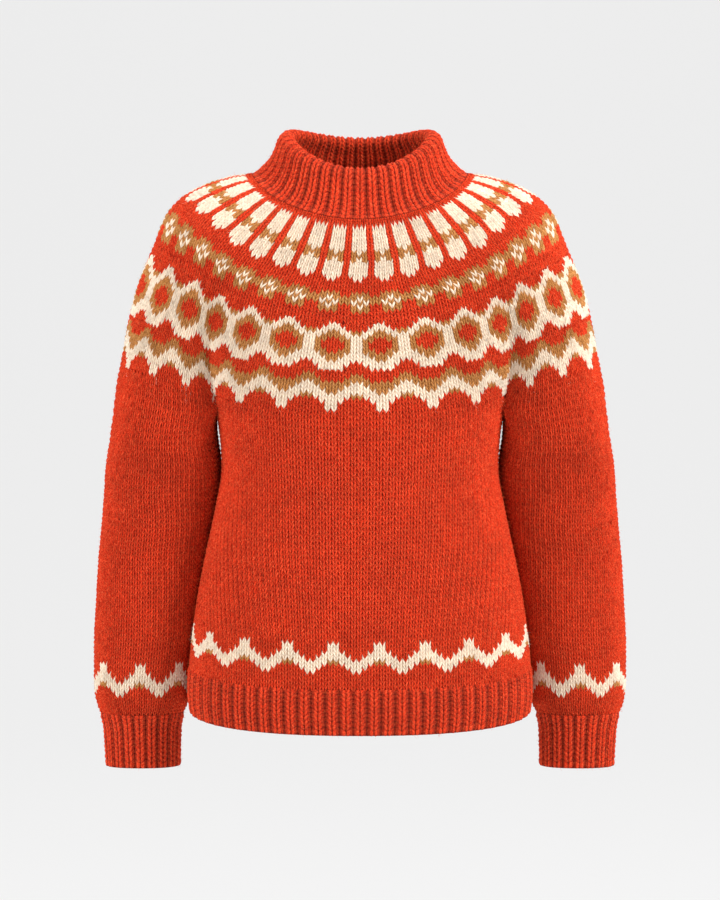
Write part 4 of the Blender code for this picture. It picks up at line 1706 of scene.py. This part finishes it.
@dataclass
class Piece:
    """What every piece of the sweater has.

    Attributes:
        finishes: the sweater's yarns.
        nap: the loose hairs, which grow on the piece.
    """

    finishes: Finishes
    nap: Nap

    def inside(self, surface: Surface, thickness: float, rows: int, columns: int, end: float) -> list[Line]:
        """Plain lines up the inside of a wall, from its lower edge to its upper one.

        Args:
            surface: the wall's outside.
            thickness: of the wall.
            rows: how many lines.
            columns: points in each.
            end: share of the surface's depth where the wall's lower edge lies.

        Returns:
            The lines, from the bottom up.
        """
        lines = []
        places = np.arange(columns) / columns
        plain = np.zeros(columns, dtype=int)
        for number in range(rows):
            foot, normals = surface.at(np.full(columns, end - end * number / (rows - 1)), places)
            points = foot - normals * thickness
            lines.append(Line(points, places, places * columns, -float(number), plain))
        return lines

    def settle(self, wall: Wall, node: str, slot: str, surface: Surface, held: str,
               materials: list[bpy.types.Material], mirrored: bool = False, stretch: float = 1.0) -> None:
        """Sew a piece and put it in the frame: what it rides on and what it replaces.

        Args:
            wall: the piece's lines.
            node: the solid whose place it takes.
            slot: the solid's material slot, not used.
            surface: the outside of its wall.
            held: how the cloth is held, not used.
            materials: one for each yarn.
            mirrored: whether the piece lies at -X, as the mirror image of its lines.
            stretch: how many times as wide as flat it is worn.
        """
        piece = wall.mesh(mirrored, materials)
        self.nap.walls.append(wall)
        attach(piece, "root")
        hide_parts(node)
        width, length = surface.girth() / stretch, surface.length()


@dataclass
class Yoke(Piece):
    """The patterned round yoke, in two meshes so that each stays light.

    Attributes:
        cut: its form.
        inside_columns: points round its inside.
    """

    cut: YokeCut
    inside_columns: int = 128

    def build(self) -> Surface:
        """Knit the yoke.

        Returns:
            Its outside, which the pieces below start from.
        """
        surface = self.cut.surface()

        def place(rows: Array, places: Array) -> tuple[Array, Array]:
            """Points and normals; the rounds ride up towards the sides.

            Args:
                rows: how far down, in rounds.
                places: shares of the way round.

            Returns:
                The points and the unit normals there.
            """
            side = half_fold(places)
            turned = np.where(places % 0.5 < 0.25, 0.25, -0.25) * tabled(FAN_OUT, rows, side)
            return surface.at(depth_of(YOKE_LEVELS, rows) - tabled(RIDE_UP, rows, side), places + turned)

        first = 0
        for name, bands in (("yoke_upper", YOKE_BANDS[:UPPER_YOKE_BANDS]),
                            ("yoke_lower", YOKE_BANDS[UPPER_YOKE_BANDS:])):
            rounds = sum(len(band.rounds) for band in bands)
            last = first + rounds
            wall = Wall(name)
            knitting = Knitting(wall, place, first, last, starts=level_none if first else level_all)
            row = first
            for band in bands:
                for number in range(len(band.rounds)):
                    edges = [band.edges(number + part) for part in THIRDS]
                    yarns = band.yarns(number)
                    knitting.round(row, edges, yarns)
                    row += 1
            knitting.line(band.edges(len(band.rounds)), last, True, yarns)
            part = Surface(surface.grid[2 * first:2 * last + 1])
            wall.lines += self.inside(part, CLOTH, rounds, self.inside_columns, 1.0)
            self.settle(wall, "yoke", "wool_knit", part, "stretched", self.finishes.charted)
            first = last
        return surface


@dataclass
class Body(Piece):
    """The body tube, with increases hidden at its sides and a zigzag above the hem.

    Attributes:
        cut: its form.
        middle_stitch: width of a stitch at the waist.
        bottom_stitch: width of a stitch above the hem.
        waist_round: where the waist lies.
        edge_stitches: stitches at each side that take up what is left of the width.
        narrowest: how wide those are at least, against the others.
        most_stitches: more than a quarter of a round has.
        graft_start: share of the way to the crease from which the underarm graft starts level.
        spread_rounds: over how many rounds the stitches grow as wide as each other.
        zigzag_round: the first round of the zigzag.
        inside_rows: lines up the inside.
        inside_columns: points of each.
    """

    cut: BodyCut
    middle_stitch: float = 0.0068
    bottom_stitch: float = 0.0063
    waist_round: int = 28
    edge_stitches: int = 3
    narrowest: float = 0.6
    most_stitches: int = 60
    graft_start: float = 0.985
    spread_rounds: int = 26
    zigzag_round: int = 47
    inside_rows: int = 14
    inside_columns: int = 96

    def build(self, yoke: Surface) -> None:
        """Knit the body.

        Args:
            yoke: the yoke's outside, on which the first round starts.
        """
        surface = self.cut.surface()
        joining = Joining(yoke, surface, BODY_LEVELS, self.cut.joint)
        lengths = self.cut.quarter_lengths()
        panel = self.cut.panel_length()
        top_stitch = PANEL_SPREAD * panel / PANEL_STITCHES
        shift = STITCH_SHIFT * top_stitch / (4 * lengths[0])
        depths = np.linspace(0, 1 / self.cut.joint, len(lengths))

        def length_at(row: float) -> float:
            """The length of a quarter of the round at a row."""
            return float(np.interp(depth_of(BODY_LEVELS, row)[0], depths, lengths))

        def place(rows: Array, places: Array) -> tuple[Array, Array]:
            """Points and normals; above the joining round they lie on the yoke.

            Args:
                rows: how far down, in rounds.
                places: shares of the way round.

            Returns:
                The points and the unit normals there.
            """
            way = half_fold(places) * lengths[0] / panel
            fold = panel_stitch(np.minimum(way, 1)) * PANEL_STITCHES / YOKE_STITCHES
            quarters = (places % 1.0 * 4).astype(int)
            share = np.choose(quarters, (fold, 0.5 - fold, 0.5 + fold, 1 - fold), mode="clip")
            return joining.place(rows, places, share, way < 1)

        def starts_level(places: Array) -> Array:
            """1 along the underarm grafts, where the first round starts level."""
            return (half_fold(places) * lengths[0] > self.graft_start * panel).astype(float)

        def ways(row: float) -> Array:
            """How far from the middle of the front the stitches of a round begin.

            Args:
                row: the round.

            Returns:
                A length for each stitch, for more than there are.
            """
            stitch = np.arange(self.most_stitches)
            width = np.interp(row, (0, self.waist_round, self.zigzag_round),
                              (top_stitch, self.middle_stitch, self.bottom_stitch))
            fading = max(1 - row / self.spread_rounds, 0)
            return stitch * width + (1 - PANEL_SPREAD) * panel * fading * (stitch / PANEL_STITCHES) ** 3

        def edges(row: float, count: int) -> Array:
            """Where the stitches of a round begin, with the odd widths kept to the sides.

            Args:
                row: the round, with its part of one.
                count: the stitches in a quarter of it.

            Returns:
                Shares of the way round, with the last stitch's end.
            """
            inner = ways(row)[:count - self.edge_stitches + 1] / length_at(row)
            inner = inner * min(1.0, (1 - self.narrowest * self.edge_stitches / count) / inner[-1])
            outer = np.linspace(inner[-1], 1, self.edge_stitches + 1)[1:]
            fold = np.concatenate([inner, outer]) / 4
            front = np.concatenate([fold, (0.5 - fold)[::-1][1:]])
            return np.concatenate([front, (1 - front)[::-1][1:]]) + shift

        wall = Wall("body_knit")
        knitting = Knitting(wall, place, 0, BODY_ROUNDS, starts=starts_level, seed=31)
        for row in range(BODY_ROUNDS):
            count = round(float(np.interp(length_at(row), ways(row), np.arange(self.most_stitches))))
            # the zigzag is counted both ways from the middle of the front, where its troughs meet
            columns = np.arange(4 * count)
            columns = np.where(columns < 2 * count, columns, columns - 4 * count)
            yarns = edge_yarns(row - self.zigzag_round, columns)
            knitting.round(row, [edges(row + part, count) for part in THIRDS], yarns)
        knitting.line(edges(BODY_ROUNDS, count), BODY_ROUNDS, True, yarns)
        wall.lines += self.inside(surface, CLOTH, self.inside_rows, self.inside_columns, self.cut.joint)
        self.settle(wall, "body", "wool_knit", surface, "stretched", self.finishes.charted)


@dataclass
class Sleeves(Piece):
    """Both sleeves.

    Attributes:
        cut: the left one's form.
        zigzag_round: the first round of the zigzag.
        taper_rounds: over how many rounds the stitches grow fewer.
        edge_stitches: stitches each side of the inner line that take up what is left of the girth.
        graft_margin: stitches beside the underarm graft that start level with it.
        inside_rows: lines up the inside.
        inside_columns: points of each.
    """

    cut: SleeveCut
    zigzag_round: int = 56
    taper_rounds: int = 50
    edge_stitches: int = 3
    graft_margin: float = 0.3
    inside_rows: int = 20
    inside_columns: int = 64

    def build(self, yoke: Surface) -> None:
        """Knit the sleeves.

        Args:
            yoke: the yoke's outside, on which the first round starts.
        """
        surface = self.cut.surface()
        joining = Joining(yoke, surface, SLEEVE_LEVELS, self.cut.joint)
        outside = SLEEVE_STITCHES - GRAFT_STITCHES
        outer = outside / SLEEVE_STITCHES / 2

        def place(rows: Array, places: Array) -> tuple[Array, Array]:
            """Points and normals; above the joining round they lie on the yoke.

            Args:
                rows: how far down, in rounds.
                places: shares of the way round.

            Returns:
                The points and the unit normals there.
            """
            stitch = (places % 1.0) * SLEEVE_STITCHES
            share = (PANEL_STITCHES + np.minimum(stitch, outside)) / YOKE_STITCHES
            return joining.place(rows, places, share, stitch < outside)

        def starts_level(places: Array) -> Array:
            """1 along the underarm graft, where the first round starts level."""
            stitch = (places % 1.0) * SLEEVE_STITCHES
            return ((stitch > outside - self.graft_margin) | (stitch < self.graft_margin)).astype(float)

        def width(row: float) -> float:
            """A stitch's share of the way round."""
            return 1 / float(np.interp(row, (0, self.taper_rounds), (SLEEVE_STITCHES, CUFF_STITCHES)))

        def edges(row: float, count: int) -> Array:
            """Where the stitches of a round begin, with the odd widths kept to the inner line.

            Args:
                row: the round, with its part of one.
                count: its stitches.

            Returns:
                Shares of the way round, with the last stitch's end.
            """
            way = (np.arange(count // 2) + 0.5) * width(row)
            kept = count // 2 - self.edge_stitches
            way[kept:] = np.linspace(way[kept - 1], 0.5 * (1 - 1 / count), self.edge_stitches + 1)[1:]
            return np.concatenate([outer - way[::-1], outer + way, [outer - way[-1] + 1]])

        for name, node, mirrored, seed in (("sleeve_left_knit", "sleeve_left", False, 53),
                                           ("sleeve_right_knit", "sleeve_right", True, 59)):
            wall = Wall(name)
            knitting = Knitting(wall, place, 0, SLEEVE_ROUNDS, starts=starts_level, seed=seed)
            for row in range(SLEEVE_ROUNDS):
                count = 2 * round(0.5 / width(row))
                yarns = edge_yarns(row - self.zigzag_round, np.arange(count))
                knitting.round(row, [edges(row + part, count) for part in THIRDS], yarns)
            knitting.line(edges(SLEEVE_ROUNDS, count), SLEEVE_ROUNDS, True, yarns)
            wall.lines += self.inside(surface, CLOTH, self.inside_rows, self.inside_columns, self.cut.joint)
            self.settle(wall, node, "wool_knit", surface, "hung", self.finishes.charted, mirrored)


@dataclass(frozen=True)
class Ribs:
    """How a piece is ribbed.

    Attributes:
        count: how many ridges go round, the first in the middle of the front.
        rounds: how many rounds are knitted.
        knit: width of a knit stitch, where it and its purl neighbour are 2 wide.
        grow: over how many rounds at the start the ridges rise.
        sink: over how many rounds at the end they sink.
        flatter: a round about which they lie flatter, over how many rounds and how flat.
        inside: lines up the inside and points of each; a doubled piece has none.
    """

    count: int
    rounds: int
    knit: float
    grow: float = 0.0
    sink: float = 0.0
    flatter: tuple[float, float, float] | None = None
    inside: tuple[int, int] | None = None

    def edges(self) -> Array:
        """Shares of the way round where the stitches begin, with the last one's end."""
        starts = np.arange(self.count)[:, None] * 2 + np.array((-self.knit / 2, self.knit / 2))
        return np.append(starts.ravel(), 2 * self.count - self.knit / 2) / (2 * self.count)


@dataclass
class Ribbing(Piece):
    """The collar, the hem and the cuffs, in knit 1, purl 1.

    Attributes:
        cut: their forms.
        collar: how the collar is ribbed; its ridges lie flatter over the roll.
        hem: how the hem is ribbed.
        cuff: how a cuff is ribbed.
        relief: height of a ridge.
        stretch: how many times as wide as flat the ribbing is worn.
        inside_end: share of its depth where a wall's inside begins.
        lip: how far in, how far down and how many rounds on the lines of a free edge lie.
    """

    cut: RibCut
    collar: Ribs = Ribs(42, 24, 1.35, sink=1.6, flatter=(10.0, 3.0, 0.45))
    hem: Ribs = Ribs(66, 10, 1.15, grow=1.3, inside=(6, 264))
    cuff: Ribs = Ribs(18, 11, 1.40, grow=1.3, inside=(7, 80))
    relief: float = 0.0010
    stretch: float = 1.15
    inside_end: float = 0.97
    lip: tuple[tuple[float, float, float], ...] = ((0.0006, 0.0008, 0.24), (0.0024, 0.0010, 0.30))

    def edge(self, wall: Wall, surface: Surface) -> None:
        """Turn the wall in at its free edge.

        Args:
            wall: what the lines are added to.
            surface: its form.
        """
        last = wall.lines[-1]
        foot, normals = surface.at(np.ones(len(last.points)), last.places)
        for inwards, down, rounds in self.lip:
            points = foot - normals * inwards - (0, 0, down)
            wall.lines.append(Line(points, last.places, last.columns, last.row + rounds, last.yarns))

    def tube(self, name: str, node: str, surface: Surface, ribs: Ribs, held: str, seed: int,
             mirrored: bool = False) -> None:
        """Knit one ribbed piece.

        Args:
            name: of the piece.
            node: the solid whose place it takes.
            surface: its form.
            ribs: how it is ribbed.
            held: how the cloth is held.
            seed: of the small differences between stitches.
            mirrored: whether the piece lies at -X, as the mirror image of its form.
        """

        def place(rows: Array, places: Array) -> tuple[Array, Array]:
            """Points and normals, with the rounds evenly far apart."""
            return surface.at(rows / ribs.rounds, places)

        wall = Wall(name)
        knitting = Knitting(wall, place, 0, ribs.rounds, level_all, level_all, self.relief, Stitch.RIB,
                            grow=ribs.grow, sink=ribs.sink, flatter=ribs.flatter, seed=seed)
        edges = ribs.edges()
        yarns = np.zeros(2 * ribs.count, dtype=int)
        for row in range(ribs.rounds):
            knitting.round(row, [edges] * len(THIRDS), yarns)
        knitting.line(edges, ribs.rounds, True, yarns)
        if ribs.inside is not None:
            self.edge(wall, surface)
            wall.lines += self.inside(surface, RIB_CLOTH, *ribs.inside, self.inside_end)
        self.settle(wall, node, "wool_rib", surface, held, [self.finishes.ribbed], mirrored, self.stretch)

    def build(self) -> None:
        """Knit the collar, the hem and both cuffs."""
        self.tube("collar_rib", "collar", self.cut.collar(), self.collar, "folded", 71)
        self.tube("hem_ribbing", "hem_rib", self.cut.hem(), self.hem, "stretched", 83)
        cuff = self.cut.cuff()
        self.tube("cuff_left_rib", "cuff_left", cuff, self.cuff, "hung", 97)
        self.tube("cuff_right_rib", "cuff_right", cuff, self.cuff, "hung", 101, mirrored=True)


@dataclass(frozen=True)
class Softbox:
    """A square soft light that faces the sweater.

    Attributes:
        name: of the light.
        place: its middle.
        size: its side, in metres.
        watts: its power.
    """

    name: str
    place: tuple[float, float, float]
    size: float
    watts: float


def aimed(thing: bpy.types.Object, place: tuple[float, float, float],
          target: tuple[float, float, float]) -> None:
    """Put a light or the camera at a place, facing a target, and add it to the scene.

    Args:
        thing: the light or camera.
        place: where it goes.
        target: what it faces.
    """
    thing.location = place
    thing.rotation_euler = (Vector(target) - Vector(place)).to_track_quat("-Z", "Y").to_euler()
    bpy.context.scene.collection.objects.link(thing)


@dataclass
class Studio:
    """A plain pale floor that curves up behind, soft lights and the camera.

    Attributes:
        floor_z: height of the floor.
        floor_front: where it begins, behind the camera.
        wall_y: place of the wall behind the sweater.
        wall_top: height of the wall's top.
        half_width: of both.
        curve: radius of the curve between them.
        curve_steps: faces along it.
        paper: what both are made of.
        air: strength of the even white light from all round.
        lights: the soft lights.
        lens: of the camera, in millimetres.
        eye: where the camera stands.
        target: what it faces.
    """

    floor_z: float = -1.40
    floor_front: float = -26.0
    wall_y: float = 5.0
    wall_top: float = 12.0
    half_width: float = 26.0
    curve: float = 2.5
    curve_steps: int = 23
    # matt white paper, lit through so that the floor has no edge and little shade
    paper: Matt = Matt("matt_paper", "#959595", 1.0, 0.0, 0.59)
    air: float = 0.50
    lights: tuple[Softbox, ...] = (
        Softbox("key", (2.4, -1.8, 1.5), 1.2, 97.0),
        Softbox("fill", (-2.6, -1.5, 0.7), 1.8, 54.0),
        Softbox("top", (0.2, 0.2, 2.2), 1.5, 20.0),
    )
    lens: float = 85.0
    eye: tuple[float, float, float] = (0.0, -2.352, 0.0575)
    target: tuple[float, float, float] = (0.0, 0.0, -0.3066)

    def backdrop(self) -> None:
        """One sheet: a plane whose back edge is extruded up and rounded."""
        bpy.ops.object.select_all(action="DESELECT")
        middle = (self.floor_front + self.wall_y) / 2
        bpy.ops.mesh.primitive_plane_add(size=2.0, location=(0, middle, self.floor_z))
        floor = bpy.context.object
        floor.name = floor.data.name = "studio_floor"
        floor.scale = (self.half_width, (self.wall_y - self.floor_front) / 2, 1)
        bpy.ops.object.transform_apply(location=True, rotation=True, scale=True)
        behind = [vertex.co.y > 0 for vertex in floor.data.vertices]
        bpy.ops.object.mode_set(mode="EDIT")
        bpy.ops.mesh.select_mode(type="EDGE")
        bpy.ops.mesh.select_all(action="DESELECT")
        bpy.ops.object.mode_set(mode="OBJECT")
        for edge in floor.data.edges:
            edge.select = all(behind[vertex] for vertex in edge.vertices)
        bpy.ops.object.mode_set(mode="EDIT")
        up = (0, 0, self.wall_top - self.floor_z)
        bpy.ops.mesh.extrude_region_move(TRANSFORM_OT_translate={"value": up})
        bpy.ops.object.mode_set(mode="OBJECT")
        rounding = floor.modifiers.new("curve", "BEVEL")
        rounding.width = self.curve
        rounding.segments = self.curve_steps
        bpy.ops.object.modifier_apply(modifier=rounding.name)
        bpy.ops.object.shade_smooth()
        floor.data.materials.append(self.paper.material())
        floor.select_set(False)

    def build(self) -> None:
        """Set up the stage."""
        self.backdrop()
        world = bpy.data.worlds.new("studio_air")
        world.use_nodes = True
        sky = world.node_tree.nodes["Background"]
        sky.inputs["Color"].default_value = (1.0, 1.0, 1.0, 1.0)
        sky.inputs["Strength"].default_value = self.air
        bpy.context.scene.world = world
        # true colours rather than a film look, so that the dyes keep their strength
        bpy.context.scene.view_settings.view_transform = "Standard"
        for softbox in self.lights:
            data = bpy.data.lights.new(softbox.name, "AREA")
            data.shape = "SQUARE"
            data.size = softbox.size
            data.energy = softbox.watts
            aimed(bpy.data.objects.new(softbox.name, data), softbox.place, self.target)
        data = bpy.data.cameras.new("camera")
        data.lens = self.lens
        data.sensor_width = 36.0
        camera = bpy.data.objects.new("camera", data)
        aimed(camera, self.eye, self.target)
        bpy.context.scene.camera = camera


def main() -> None:
    """Build the stage and the pieces."""
    logging.basicConfig(level=logging.INFO, format="%(message)s")
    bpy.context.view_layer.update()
    Studio().build()
    finishes = Finishes()
    nap = Nap(finishes)
    yoke_cut = YokeCut()
    body_cut = BodyCut(yoke_cut)
    sleeve_cut = SleeveCut(body_cut)
    yoke = Yoke(finishes, nap, yoke_cut).build()
    Body(finishes, nap, body_cut).build(yoke)
    Sleeves(finishes, nap, sleeve_cut).build(yoke)
    Ribbing(finishes, nap, RibCut(sleeve_cut)).build()
    nap.build()


if __name__ == "__main__":
    main()
